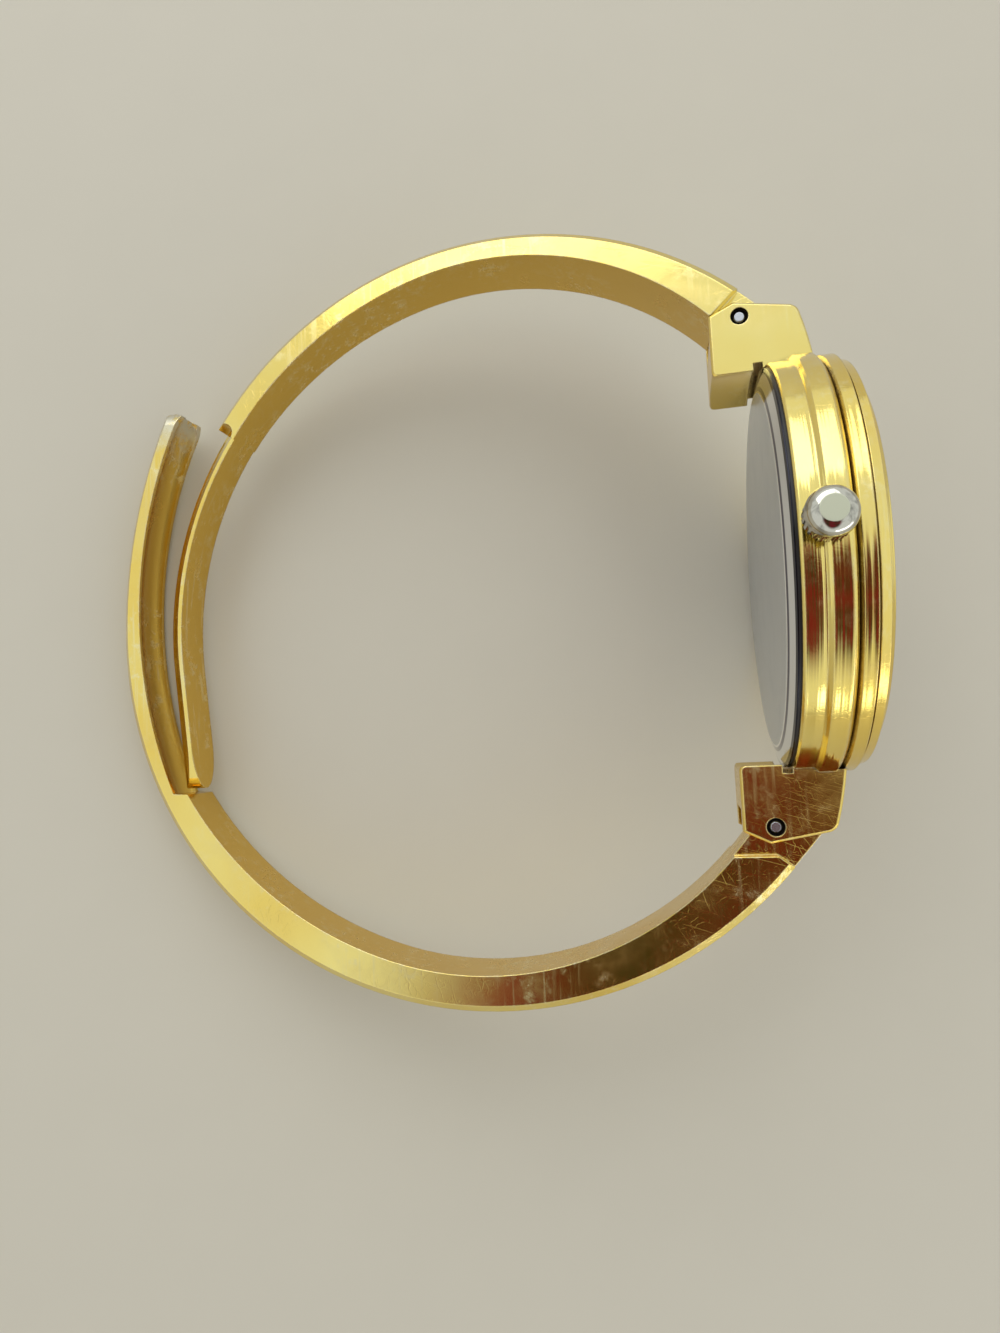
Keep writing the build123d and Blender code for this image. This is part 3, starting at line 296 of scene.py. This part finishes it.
def rubbed_group():
    """Pale rubbed specks and streaks in the plating, long in the direction Along, as a mask."""
    group, start, end = new_group(
        "Rubbed", [("Along", "Vector", (0.0, 1.0, 0.0)), ("Scale", "Float", 700.0), ("Amount", "Float", 0.4)],
        [("Mask", "Float")])
    coords = add(group, "TexCoord")
    specks = add(group, "TexNoise", {"Detail": 5.0, "Roughness": 0.7})
    group.links.new(coords.outputs["Object"], specks.inputs["Vector"])
    group.links.new(start.outputs["Scale"], specks.inputs["Scale"])
    dot = add(group, "VectorMath", operation="DOT_PRODUCT")
    group.links.new(coords.outputs["Object"], dot.inputs[0])
    group.links.new(start.outputs["Along"], dot.inputs[1])
    shift = add(group, "VectorMath", operation="SCALE")
    group.links.new(start.outputs["Along"], shift.inputs[0])
    group.links.new(math_node(group, "MULTIPLY", dot.outputs["Value"], -0.96), shift.inputs["Scale"])
    stretched = add(group, "VectorMath", operation="ADD")
    group.links.new(coords.outputs["Object"], stretched.inputs[0])
    group.links.new(shift.outputs[0], stretched.inputs[1])
    streaks = add(group, "TexNoise", {"Scale": 2600.0, "Detail": 2.0})
    group.links.new(stretched.outputs[0], streaks.inputs["Vector"])
    areas = add(group, "TexNoise", {"Scale": 95.0, "Detail": 2.0})
    group.links.new(coords.outputs["Object"], areas.inputs["Vector"])
    both = math_node(group, "MAXIMUM", ramp(group, specks.outputs[0], 0.54, 0.66),
                     ramp(group, streaks.outputs[0], 0.56, 0.70, 0.0, 0.8))
    held = math_node(group, "MULTIPLY", both, ramp(group, areas.outputs[0], 0.38, 0.60))
    group.links.new(math_node(group, "MULTIPLY", held, start.outputs["Amount"]), end.inputs["Mask"])
    return group


def crease_dirt_group():
    """Painted shade in grooves and inner corners, found by ambient occlusion, with old polish and grime
    there, as a mask.
    """
    group, start, end = new_group("Crease Shade And Grime", [("Reach", "Float", 0.0007), ("Amount", "Float", 0.8)],
                                  [("Mask", "Float")])
    crease = add(group, "AmbientOcclusion", samples=6)
    group.links.new(start.outputs["Reach"], crease.inputs["Distance"])
    coords = add(group, "TexCoord")
    noise = add(group, "TexNoise", {"Scale": 1300.0, "Detail": 3.0})
    group.links.new(coords.outputs["Object"], noise.inputs["Vector"])
    uneven = ramp(group, noise.outputs[0], 0.3, 0.7, -0.08, 0.08)
    open_share = math_node(group, "ADD", crease.outputs["AO"], uneven)
    occluded_darkening = ramp(group, open_share, 0.40, 0.78, 1.0, 0.0)
    group.links.new(math_node(group, "MULTIPLY", occluded_darkening, start.outputs["Amount"]), end.inputs["Mask"])
    return group


def facing_group():
    """How much a surface faces a point, as a mask: the bangle's faces on the wrist side."""
    group, start, end = new_group("Facing", [("Point", "Vector", None)], [("Mask", "Float")])
    coords = add(group, "TexCoord")
    offset = add(group, "VectorMath", operation="SUBTRACT")
    group.links.new(start.outputs["Point"], offset.inputs[0])
    group.links.new(coords.outputs["Object"], offset.inputs[1])
    towards = add(group, "VectorMath", operation="NORMALIZE")
    group.links.new(offset.outputs[0], towards.inputs[0])
    geometry = add(group, "NewGeometry")
    dot = add(group, "VectorMath", operation="DOT_PRODUCT")
    group.links.new(towards.outputs[0], dot.inputs[0])
    group.links.new(geometry.outputs["Normal"], dot.inputs[1])
    group.links.new(ramp(group, dot.outputs["Value"], 0.35, 0.75), end.inputs["Mask"])
    return group


def near_line_group():
    """How near a place is to the line through Point along Direction: 1 within Inner, 0 beyond Outer."""
    group, start, end = new_group(
        "Near Line", [("Point", "Vector", None), ("Direction", "Vector", None), ("Inner", "Float", 0.0006),
                      ("Outer", "Float", 0.0007)], [("Mask", "Float")])
    coords = add(group, "TexCoord")
    offset = add(group, "VectorMath", operation="SUBTRACT")
    group.links.new(coords.outputs["Object"], offset.inputs[0])
    group.links.new(start.outputs["Point"], offset.inputs[1])
    across = add(group, "VectorMath", operation="CROSS_PRODUCT")
    group.links.new(offset.outputs[0], across.inputs[0])
    group.links.new(start.outputs["Direction"], across.inputs[1])
    length = add(group, "VectorMath", operation="LENGTH")
    group.links.new(across.outputs[0], length.inputs[0])
    mapped = group.nodes.new("ShaderNodeMapRange")
    group.links.new(length.outputs["Value"], mapped.inputs["Value"])
    group.links.new(start.outputs["Inner"], mapped.inputs["From Min"])
    group.links.new(start.outputs["Outer"], mapped.inputs["From Max"])
    mapped.inputs["To Min"].default_value = 1.0
    mapped.inputs["To Max"].default_value = 0.0
    group.links.new(mapped.outputs["Result"], end.inputs["Mask"])
    return group


def turned_waves_group():
    """The slight waviness of a polished turned surface, round the watch's dial axis, as a height. It is only
    on faces that look outward from that axis, and fades out from Inner to Outer, measured from it."""
    group, start, end = new_group(
        "Turned Waves", [("Point", "Vector", None), ("Axis", "Vector", None), ("Scale", "Float", 650.0),
                         ("Inner", "Float", 0.0148), ("Outer", "Float", 0.0165), ("Amount", "Float", 1.0)],
        [("Height", "Float")])
    coords = add(group, "TexCoord")
    offset = add(group, "VectorMath", operation="SUBTRACT")
    group.links.new(coords.outputs["Object"], offset.inputs[0])
    group.links.new(start.outputs["Point"], offset.inputs[1])
    along = add(group, "VectorMath", operation="DOT_PRODUCT")
    group.links.new(offset.outputs[0], along.inputs[0])
    group.links.new(start.outputs["Axis"], along.inputs[1])
    waves = add(group, "TexNoise", {"Detail": 3.0, "Roughness": 0.5}, noise_dimensions="1D")
    group.links.new(along.outputs["Value"], waves.inputs["W"])
    group.links.new(start.outputs["Scale"], waves.inputs["Scale"])
    near = add(group, "Group", node_tree=shared_group("Near Line"))
    group.links.new(start.outputs["Point"], near.inputs["Point"])
    group.links.new(start.outputs["Axis"], near.inputs["Direction"])
    group.links.new(start.outputs["Inner"], near.inputs["Inner"])
    group.links.new(start.outputs["Outer"], near.inputs["Outer"])
    centred = math_node(group, "SUBTRACT", waves.outputs[0], 0.5)
    held = math_node(group, "MULTIPLY", centred, near.outputs["Mask"])
    on_axis = add(group, "VectorMath", operation="SCALE")
    group.links.new(start.outputs["Axis"], on_axis.inputs[0])
    group.links.new(along.outputs["Value"], on_axis.inputs["Scale"])
    outward = add(group, "VectorMath", operation="SUBTRACT")
    group.links.new(offset.outputs[0], outward.inputs[0])
    group.links.new(on_axis.outputs[0], outward.inputs[1])
    direction = add(group, "VectorMath", operation="NORMALIZE")
    group.links.new(outward.outputs[0], direction.inputs[0])
    geometry = add(group, "NewGeometry")
    facing = add(group, "VectorMath", operation="DOT_PRODUCT")
    group.links.new(direction.outputs[0], facing.inputs[0])
    group.links.new(geometry.outputs["Normal"], facing.inputs[1])
    held = math_node(group, "MULTIPLY", held, ramp(group, facing.outputs["Value"], 0.6, 0.8))
    group.links.new(math_node(group, "MULTIPLY", held, start.outputs["Amount"]), end.inputs["Height"])
    return group


GROUP_MAKERS = {
    "Fine Scratches": fine_scratches_group,
    "Smudges": smudges_group,
    "Edge Wear": edge_wear_group,
    "Near Line": near_line_group,
    "Crease Shade And Grime": crease_dirt_group,
    "Facing": facing_group,
    "Rubbed": rubbed_group,
    "Turned Waves": turned_waves_group,
}


def shared_group(name):
    """The shader node group of that name, made when first asked for."""
    return bpy.data.node_groups.get(name) or GROUP_MAKERS[name]()


def rougher(tree, roughness, mask, amount):
    """The roughness with up to the amount added where the mask is."""
    return math_node(tree, "ADD", roughness, math_node(tree, "MULTIPLY", mask, amount))


def new_finish(name):
    material = bpy.data.materials.new(name)
    material.use_nodes = True
    shader = material.node_tree.nodes["Principled BSDF"]
    return material, material.node_tree, shader


def gold_finish(name, rough=0.12, wear=0.5, tip=None, dark_lines=(), scratches=0.5, edge=0.00012, crease_shade_and_grime=0.0,
                inner_shade_centre=None, rubbed=0.0, waves=0.0):
    """Gold plating with hairlines, smudges and wear at its edges. tip is (point, direction, start, end): the
    plating wears through more from start to end along direction. dark_lines are pins with a near-black ring
    round them.
    Faces that look at the given centre point get a deeper amber colour, which is painted shade of the ring's
    inside, and a duller polish. rubbed is the amount of pale specks, and waves the depth of the waviness
    round the dial axis, in metres."""
    material, tree, shader = new_finish(name)
    shader.inputs["Metallic"].default_value = 1.0
    worn = use_group(tree, shared_group("Edge Wear"), Round=edge, Amount=wear)
    smudge = use_group(tree, shared_group("Smudges"), Amount=0.75)
    lines = use_group(tree, shared_group("Fine Scratches"), Amount=scratches)
    coords = add(tree, "TexCoord")
    cloud = add(tree, "TexNoise", {"Scale": 70.0, "Detail": 3.0})
    tree.links.new(coords.outputs["Object"], cloud.inputs["Vector"])
    base = mix_colour(tree, ramp(tree, cloud.outputs[0], 0.35, 0.7), finish().gold, finish().gold_deep)
    film = math_node(tree, "MULTIPLY", smudge.outputs["Mask"], 0.18)
    base = mix_colour(tree, film, base, (0.62, 0.48, 0.30))
    roughness = rougher(tree, rough, smudge.outputs["Mask"], 0.14)
    # Faces that look at the ring's centre get the amber: painted shade of the ring's inside.
    if inner_shade_centre:
        inside = use_group(tree, shared_group("Facing"))
        inside.inputs["Point"].default_value = inner_shade_centre
        base = mix_colour(tree, inside.outputs["Mask"], base, finish().amber)
        roughness = rougher(tree, roughness, inside.outputs["Mask"], 0.08)
    if rubbed:
        specks = use_group(tree, shared_group("Rubbed"), Amount=rubbed)
        specks.inputs["Along"].default_value = WATCH.col[1].to_3d()
        base = mix_colour(tree, specks.outputs["Mask"], base, finish().rubbed)
        roughness = rougher(tree, roughness, specks.outputs["Mask"], 0.25)
    mask = worn.outputs["Mask"]
    if tip:
        point, direction, low, high = tip
        along = add(tree, "VectorMath", operation="DOT_PRODUCT")
        tree.links.new(coords.outputs["Object"], along.inputs[0])
        along.inputs[1].default_value = direction
        start = point.dot(direction)
        zone = ramp(tree, along.outputs["Value"], start + low, start + high)
        spots = add(tree, "TexNoise", {"Scale": 700.0, "Detail": 4.0, "Roughness": 0.7})
        tree.links.new(coords.outputs["Object"], spots.inputs["Vector"])
        worn_through = math_node(tree, "MULTIPLY", zone, ramp(tree, spots.outputs[0], 0.38, 0.52))
        mask = math_node(tree, "MAXIMUM", mask, worn_through)
    base = mix_colour(tree, mask, base, finish().worn)
    roughness = rougher(tree, roughness, mask, 0.14)
    if crease_shade_and_grime:
        crease = use_group(tree, shared_group("Crease Shade And Grime"), Amount=crease_shade_and_grime)
        # Dark brown where the creases are occluded: painted shade, with some grime.
        base = mix_colour(tree, crease.outputs["Mask"], base, (0.10, 0.045, 0.012))
        roughness = rougher(tree, roughness, crease.outputs["Mask"], 0.2)
    for point in dark_lines:
        ring = use_group(tree, shared_group("Near Line"), Inner=PIN_DARK_RING[0], Outer=PIN_DARK_RING[1])
        ring.inputs["Point"].default_value = point
        ring.inputs["Direction"].default_value = WATCH.col[2].to_3d()
        base = mix_colour(tree, ring.outputs["Mask"], base, (0.012, 0.010, 0.009))
        matt = math_node(tree, "MULTIPLY", ring.outputs["Mask"], 0.6)
        roughness = math_node(tree, "MAXIMUM", roughness, matt)
    height = lines.outputs["Height"]
    if waves:
        turned = use_group(tree, shared_group("Turned Waves"), Amount=waves / finish().scratch_depth)
        turned.inputs["Point"].default_value = WATCH.translation
        turned.inputs["Axis"].default_value = WATCH.col[0].to_3d()
        height = math_node(tree, "ADD", height, turned.outputs["Height"])
    bump = add(tree, "Bump", {"Strength": 1.0, "Distance": finish().scratch_depth})
    tree.links.new(height, bump.inputs["Height"])
    tree.links.new(worn.outputs["Normal"], bump.inputs["Normal"])
    tree.links.new(base, shader.inputs["Base Color"])
    tree.links.new(roughness, shader.inputs["Roughness"])
    tree.links.new(bump.outputs[0], shader.inputs["Normal"])
    return material


def metal_finish(name, colour, rough, scratches=0.4, edge=0.00006, dull=0.1, satin=None, rings=(),
                 tarnish=0.82, film=220.0):
    """Plain metal with hairlines and smudges, which darken it to the tarnish share of its colour. film sets
    their scale. satin is (point, direction, radius, roughness): the metal is rougher than elsewhere within
    the radius of that line. rings are (radius, colour), inwards, round it."""
    material, tree, shader = new_finish(name)
    shader.inputs["Metallic"].default_value = 1.0
    worn = use_group(tree, shared_group("Edge Wear"), Round=edge, Amount=0.3)
    smudge = use_group(tree, shared_group("Smudges"), Amount=0.8, Scale=film)
    lines = use_group(tree, shared_group("Fine Scratches"), Amount=scratches)
    darker = [value * tarnish for value in colour]
    base = mix_colour(tree, smudge.outputs["Mask"], colour, darker)
    roughness = rougher(tree, rough, smudge.outputs["Mask"], dull)
    if satin:
        point, direction, radius, satin_rough = satin
        face = use_group(tree, shared_group("Near Line"), Inner=radius, Outer=radius + 0.00005)
        face.inputs["Point"].default_value = point
        face.inputs["Direction"].default_value = direction
        roughness = rougher(tree, roughness, face.outputs["Mask"], satin_rough - rough)
        for ring_radius, ring_colour in rings:
            ring = use_group(tree, shared_group("Near Line"), Inner=ring_radius, Outer=ring_radius + 0.00004)
            ring.inputs["Point"].default_value = point
            ring.inputs["Direction"].default_value = direction
            base = mix_colour(tree, ring.outputs["Mask"], base, ring_colour)
    bump = add(tree, "Bump", {"Strength": 1.0, "Distance": finish().scratch_depth})
    tree.links.new(lines.outputs["Height"], bump.inputs["Height"])
    tree.links.new(worn.outputs["Normal"], bump.inputs["Normal"])
    tree.links.new(base, shader.inputs["Base Color"])
    tree.links.new(roughness, shader.inputs["Roughness"])
    tree.links.new(bump.outputs[0], shader.inputs["Normal"])
    return material


def plain_finish(name, colour, rough, metal=0.0, grain=900.0, variation=0.15, depth=0.000004):
    """Plastic, rubber or lacquer with a fine grain."""
    material, tree, shader = new_finish(name)
    shader.inputs["Metallic"].default_value = metal
    coords = add(tree, "TexCoord")
    noise = add(tree, "TexNoise", {"Scale": grain, "Detail": 3.0})
    tree.links.new(coords.outputs["Object"], noise.inputs["Vector"])
    darker = [value * (1 - variation) for value in colour]
    base = mix_colour(tree, noise.outputs[0], colour, darker)
    tree.links.new(base, shader.inputs["Base Color"])
    roughness = ramp(tree, noise.outputs[0], 0.2, 0.8, rough * 0.85, rough * 1.15)
    tree.links.new(roughness, shader.inputs["Roughness"])
    bump = add(tree, "Bump", {"Strength": 0.5, "Distance": depth})
    tree.links.new(noise.outputs[0], bump.inputs["Height"])
    tree.links.new(bump.outputs[0], shader.inputs["Normal"])
    return material


def crystal_finish(name):
    material, tree, shader = new_finish(name)
    shader.inputs["Transmission Weight"].default_value = 1.0
    shader.inputs["IOR"].default_value = 1.5
    shader.inputs["Base Color"].default_value = (0.97, 0.98, 0.98, 1)
    smudge = use_group(tree, shared_group("Smudges"), Amount=0.5)
    tree.links.new(ramp(tree, smudge.outputs["Mask"], 0.0, 1.0, 0.0, 0.05), shader.inputs["Roughness"])
    return material


def dress(nodes, material):
    """Gives CAD nodes their material."""
    for name in nodes:
        mesh = NODES[name].data
        mesh.materials.clear()
        mesh.materials.append(material)


class WATCH_OT_stage(bpy.types.Operator):
    """Make the floor, the lamps, the surroundings and the camera"""
    bl_idname = "watch.stage"
    bl_label = "Stage"

    def execute(self, context):
        self.floor(context)
        self.lamps(context)
        self.room(context)
        self.camera(context)
        return {"FINISHED"}

    def floor(self, context):
        half = stage().floor_size / 2
        mesh = bpy.data.meshes.new("floor")
        corners = [(-half, -half, 0), (half, -half, 0), (half, half, 0), (-half, half, 0)]
        mesh.from_pydata(corners, [], [(0, 1, 2, 3)])
        floor = bpy.data.objects.new("floor", mesh)
        context.scene.collection.objects.link(floor)
        material, tree, shader = new_finish("Floor")
        coords = add(tree, "TexCoord")
        noise = add(tree, "TexNoise", {"Scale": 160.0, "Detail": 4.0})
        tree.links.new(coords.outputs["Object"], noise.inputs["Vector"])
        pale = stage().floor
        base = mix_colour(tree, noise.outputs[0], pale, [value * 0.97 for value in pale])
        tree.links.new(base, shader.inputs["Base Color"])
        shader.inputs["Roughness"].default_value = 0.6
        mesh.materials.append(material)

    def lamps(self, context):
        centre = Vector((0, 0, 0.012))
        for name, place, size, power in (
                ("key", (-0.12, 0.42, 0.34), (0.50, 0.36), stage().key_power),
                ("fill", (0.30, -0.40, 0.11), (0.50, 0.10), stage().fill_power)):
            data = bpy.data.lights.new(name, "AREA")
            data.shape = "RECTANGLE"
            data.size, data.size_y = size
            data.energy = power
            lamp = bpy.data.objects.new(name, data)
            context.scene.collection.objects.link(lamp)
            lamp.location = place
            lamp.rotation_euler = (centre - Vector(place)).to_track_quat("-Z", "Y").to_euler()

    def room(self, context):
        world = bpy.data.worlds.new("Room")
        context.scene.world = world
        world.use_nodes = True
        tree = world.node_tree
        background = tree.nodes["Background"]
        coords = add(tree, "TexCoord")
        blotches = add(tree, "TexNoise", {"Scale": 4.0, "Detail": 2.0})
        tree.links.new(coords.outputs["Generated"], blotches.inputs["Vector"])
        patches = ramp(tree, blotches.outputs[0], 0.40, 0.62)
        dark = mix_colour(tree, patches, (0.21, 0.022, 0.028), (0.05, 0.045, 0.022))
        shade_colour = mix_colour(tree, self.dark_side(tree), (0.96, 1.0, 0.98), dark)
        seen = add(tree, "LightPath")
        colour = mix_colour(tree, seen.outputs["Is Camera Ray"], shade_colour, (0.90, 0.90, 0.88))
        tree.links.new(colour, background.inputs["Color"])
        strength = ramp(tree, seen.outputs["Is Camera Ray"], 0.0, 1.0, stage().sky_strength, 1.0)
        tree.links.new(strength, background.inputs["Strength"])

    def dark_side(self, tree):
        """The dim red-brown part of the room, as a mask by direction, which shows in the polished metal."""
        coords = add(tree, "TexCoord")
        squares = []
        for column, middle, half in ((0, 0.02, 0.38), (1, -0.40, 0.49)):
            along = add(tree, "VectorMath", operation="DOT_PRODUCT")
            tree.links.new(coords.outputs["Generated"], along.inputs[0])
            along.inputs[1].default_value = WATCH.col[column].to_3d()
            offset = math_node(tree, "SUBTRACT", along.outputs["Value"], middle)
            offset = math_node(tree, "DIVIDE", offset, half)
            squares.append(math_node(tree, "MULTIPLY", offset, offset))
        distance = math_node(tree, "SQRT", math_node(tree, "ADD", squares[0], squares[1]))
        height = add(tree, "SeparateXYZ")
        tree.links.new(coords.outputs["Generated"], height.inputs[0])
        above = ramp(tree, height.outputs["Z"], 0.05, 0.25)
        return math_node(tree, "MULTIPLY", ramp(tree, distance, 0.80, 1.15, 1.0, 0.0), above)

    def camera(self, context):
        data = bpy.data.cameras.new("camera")
        data.lens = CAMERA_LENS
        data.sensor_width = 36.0
        data.clip_start = 0.001
        camera = bpy.data.objects.new("camera", data)
        context.scene.collection.objects.link(camera)
        back = CAMERA_RIGHT.cross(CAMERA_UP).normalized()
        right = CAMERA_RIGHT.normalized()
        up = back.cross(right)
        turn = Matrix((right, up, back)).transposed().to_4x4()
        camera.matrix_world = WATCH @ Matrix.Translation(CAMERA_PLACE) @ turn
        context.scene.camera = camera


class WATCH_OT_bangle(bpy.types.Operator):
    """Finish both halves of the bangle in worn gold plating"""
    bl_idname = "watch.bangle"
    bl_label = "Bangle"

    def execute(self, context):
        towards_6 = WATCH.col[1].to_3d()
        tip = WATCH @ Vector(TIP_PLACE)
        wrist = WATCH @ Vector(WRIST_MIDDLE)
        outer = gold_finish("Outer Half Gold", tip=(tip, towards_6, -0.004, 0.0), scratches=0.9,
                            inner_shade_centre=wrist, rubbed=0.6)
        dress(["outer_half"], outer)
        dress(["inner_half"], gold_finish("Inner Half Gold", scratches=0.9, inner_shade_centre=wrist, rubbed=0.45))
        return {"FINISHED"}


class WATCH_OT_case(bpy.types.Operator):
    """Finish the case, its bezel, back and gaskets"""
    bl_idname = "watch.case"
    bl_label = "Case"

    def execute(self, context):
        pins = [WATCH @ Vector((0, side * HALF_SPREAD, 0)) for side in (-1, 1)]
        case = gold_finish("Case Gold", dark_lines=pins, crease_shade_and_grime=0.9, rubbed=0.35, waves=0.0004,
                           inner_shade_centre=WATCH @ Vector(WRIST_MIDDLE))
        dress(["case_middle"], case)
        dress(["bezel"], gold_finish("Bezel Gold", wear=0.3, crease_shade_and_grime=0.9, rubbed=0.3, waves=0.0002))
        axis = (WATCH.translation, WATCH.col[0].to_3d())
        rings = [(radius * MM, colour) for radius, colour in BACK_PAINTED_REFLECTIONS]
        # The steel is near black where no ring covers it, out at the bevel's rim: a painted dark reflection
        # there.
        back = metal_finish("Back Steel", (0.03, 0.03, 0.04), 0.06, scratches=0.8,
                            satin=(*axis, BACK_FACE_RADIUS, 0.30), rings=rings)
        dress(["case_back"], back)
        rubber = plain_finish("Gasket Rubber", (0.012, 0.012, 0.014), 0.45)
        dress(["case_back_gasket", "crown_gasket"], rubber)
        dress(["crystal_gasket"], plain_finish("Gasket Nylon", (0.75, 0.75, 0.72), 0.4))
        dress(["crystal"], crystal_finish("Crystal Glass"))
        return {"FINISHED"}


class WATCH_OT_hinges(bpy.types.Operator):
    """Finish the hinge pins and springs"""
    bl_idname = "watch.hinges"
    bl_label = "Hinges"

    def execute(self, context):
        steel = metal_finish("Pin Steel", (0.55, 0.57, 0.62), 0.22, scratches=0.3)
        dress(["hinge_pin_6", "hinge_pin_12", "hinge_spring_6", "hinge_spring_12"], steel)
        return {"FINISHED"}


class WATCH_OT_crown(bpy.types.Operator):
    """Finish the crown, its stem and tube"""
    bl_idname = "watch.crown"
    bl_label = "Crown"

    def execute(self, context):
        crown_line = (WATCH @ Vector((CROWN_LINE, 0, 0)), WATCH.col[2].to_3d(), CROWN_FACE_RADIUS, 0.3)
        plating = metal_finish("Crown Plating", finish().crown, 0.08, scratches=0.9, edge=0.00008, dull=0.1,
                               tarnish=0.22, film=1400.0, satin=crown_line,
                               rings=[(CROWN_FACE_RADIUS, (0.60, 0.61, 0.47))])
        dress(["crown"], plating)
        steel = metal_finish("Stem Steel", finish().steel, 0.25)
        dress(["winding_stem", "sliding_pinion", "setting_lever", "crown_tube"], steel)
        return {"FINISHED"}


class WATCH_OT_dial(bpy.types.Operator):
    """Finish the dial, its ring, markers and hands, and print its track and numerals"""
    bl_idname = "watch.dial"
    bl_label = "Dial"

    def execute(self, context):
        dress(["dial"], plain_finish("Dial Lacquer", finish().dial, 0.3, variation=0.04))
        gold = gold_finish("Dial Gold", rough=0.1, wear=0.0, scratches=0.1, edge=0.00003)
        dress(["dial_ring", "dial_markers", "hour_hand", "minute_hand"], gold)
        ink = plain_finish("Dial Ink", (0.03, 0.025, 0.02), 0.35, variation=0.3)
        self.minute_track(context, ink)
        for hour in (3, 6, 9, 12):
            self.numeral(context, hour, ink)
        return {"FINISHED"}

    def minute_track(self, context, ink):
        """The printed marks of the minutes, wider at the hours and sunk a little into the dial."""
        sizes = dial_print()
        corners, faces = [], []
        for minute in range(60):
            turn = Matrix.Rotation(math.radians(minute * 6), 3, "X")
            length, width = sizes.minute_length / 2, sizes.minute_width / 2
            if minute % 5 == 0:
                width *= 2
            first = len(corners)
            for x in (DIAL_FACE - sizes.print_height / 2, DIAL_FACE + sizes.print_height):
                for y, z in ((-length, -width), (length, -width), (length, width), (-length, width)):
                    corners.append(WATCH @ (turn @ Vector((x, -sizes.track_radius + y, z))))
            faces += [[first + corner for corner in side] for side in
                      ((3, 2, 1, 0), (4, 5, 6, 7), (0, 1, 5, 4), (1, 2, 6, 5), (2, 3, 7, 6), (3, 0, 4, 7))]
        mesh = bpy.data.meshes.new("minute_track")
        mesh.from_pydata(corners, [], faces)
        self.place(context, "minute_track", mesh, ink)

    def numeral(self, context, hour, ink):
        """A plain printed numeral, upright as read with 12 o'clock at the top."""
        sizes = dial_print()
        curve = bpy.data.curves.new(f"numeral_{hour}", "FONT")
        curve.body = str(hour)
        curve.align_x, curve.align_y = "CENTER", "CENTER"
        curve.size = sizes.numeral_height * 1.4
        curve.extrude = sizes.print_height
        curve.resolution_u = 4
        text = bpy.data.objects.new(f"numeral_{hour}_text", curve)
        context.scene.collection.objects.link(text)
        context.view_layer.update()
        mesh = bpy.data.meshes.new_from_object(text.evaluated_get(context.evaluated_depsgraph_get()))
        bpy.data.objects.remove(text)
        angle = math.radians(hour * 30)
        towards_12, towards_3 = math.cos(angle), math.sin(angle)
        middle = Vector((DIAL_FACE, -sizes.numeral_radius * towards_12, sizes.numeral_radius * towards_3))
        upright = Matrix(((0, 0, 1), (0, -1, 0), (1, 0, 0))).to_4x4()
        mesh.transform(WATCH @ Matrix.Translation(middle) @ upright)
        self.place(context, f"numeral_{hour}", mesh, ink)

    def place(self, context, name, mesh, ink):
        mesh.name = name
        mesh.materials.clear()
        mesh.materials.append(ink)
        piece = bpy.data.objects.new(name, mesh)
        context.scene.collection.objects.link(piece)
        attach(piece, "case")


class WATCH_OT_movement(bpy.types.Operator):
    """Finish the movement inside the case"""
    bl_idname = "watch.movement"
    bl_label = "Movement"

    def execute(self, context):
        brass = metal_finish("Wheel Brass", (0.72, 0.52, 0.22), 0.28, scratches=0.2)
        steel = metal_finish("Movement Steel", finish().steel, 0.25, scratches=0.3)
        dress(["main_plate", "centre_wheel", "minute_wheel", "hour_wheel", "setting_wheel"], brass)
        dress(["train_bridge", "bridge_screws", "battery", "battery_clamp", "quartz_can"], steel)
        dress(["coil_core", "stator"], steel)
        dress(["movement_ring"], plain_finish("Ring Plastic", (0.20, 0.20, 0.21), 0.5))
        pale_plastic = plain_finish("Wheel Plastic", (0.80, 0.77, 0.70), 0.35)
        dress(["rotor", "intermediate_wheel", "third_wheel"], pale_plastic)
        dress(["circuit_board"], plain_finish("Circuit Board", (0.05, 0.18, 0.09), 0.4))
        dress(["circuit_chip"], plain_finish("Chip", (0.02, 0.02, 0.02), 0.5))
        copper = plain_finish("Copper Winding", (0.70, 0.30, 0.12), 0.35, metal=1.0, grain=3000.0)
        dress(["coil_winding"], copper)
        dress(["battery_insulator"], plain_finish("Insulator Film", (0.62, 0.45, 0.15), 0.35))
        return {"FINISHED"}


class WATCH_PT_panel(bpy.types.Panel):
    """The watch's pieces and sizes"""
    bl_idname = "WATCH_PT_panel"
    bl_label = "Bangle Watch"
    bl_space_type = "VIEW_3D"
    bl_region_type = "UI"
    bl_category = "Watch"

    def draw(self, context):
        layout = self.layout
        for settings in (context.scene.watch_finish, context.scene.watch_dial, context.scene.watch_stage):
            box = layout.box()
            for name in settings.__class__.__annotations__:
                box.prop(settings, name)
        for operator in OPERATORS:
            layout.operator(operator.bl_idname)


OPERATORS = (WATCH_OT_stage, WATCH_OT_bangle, WATCH_OT_case, WATCH_OT_hinges, WATCH_OT_crown, WATCH_OT_dial,
             WATCH_OT_movement)
CLASSES = (WatchFinish, WatchDial, WatchStage) + OPERATORS + (WATCH_PT_panel,)


def register():
    for item in CLASSES:
        bpy.utils.register_class(item)
    bpy.types.Scene.watch_finish = PointerProperty(type=WatchFinish)
    bpy.types.Scene.watch_dial = PointerProperty(type=WatchDial)
    bpy.types.Scene.watch_stage = PointerProperty(type=WatchStage)


def unregister():
    del bpy.types.Scene.watch_stage
    del bpy.types.Scene.watch_dial
    del bpy.types.Scene.watch_finish
    for item in reversed(CLASSES):
        bpy.utils.unregister_class(item)


def main():
    register()
    bpy.context.scene.view_settings.view_transform = "Standard"
    for operator in OPERATORS:
        family, name = operator.bl_idname.split(".")
        result = getattr(getattr(bpy.ops, family), name)()
        if result != {"FINISHED"}:
            raise RuntimeError(operator.bl_label + " was not made")


if __name__ == "__main__":
    main()
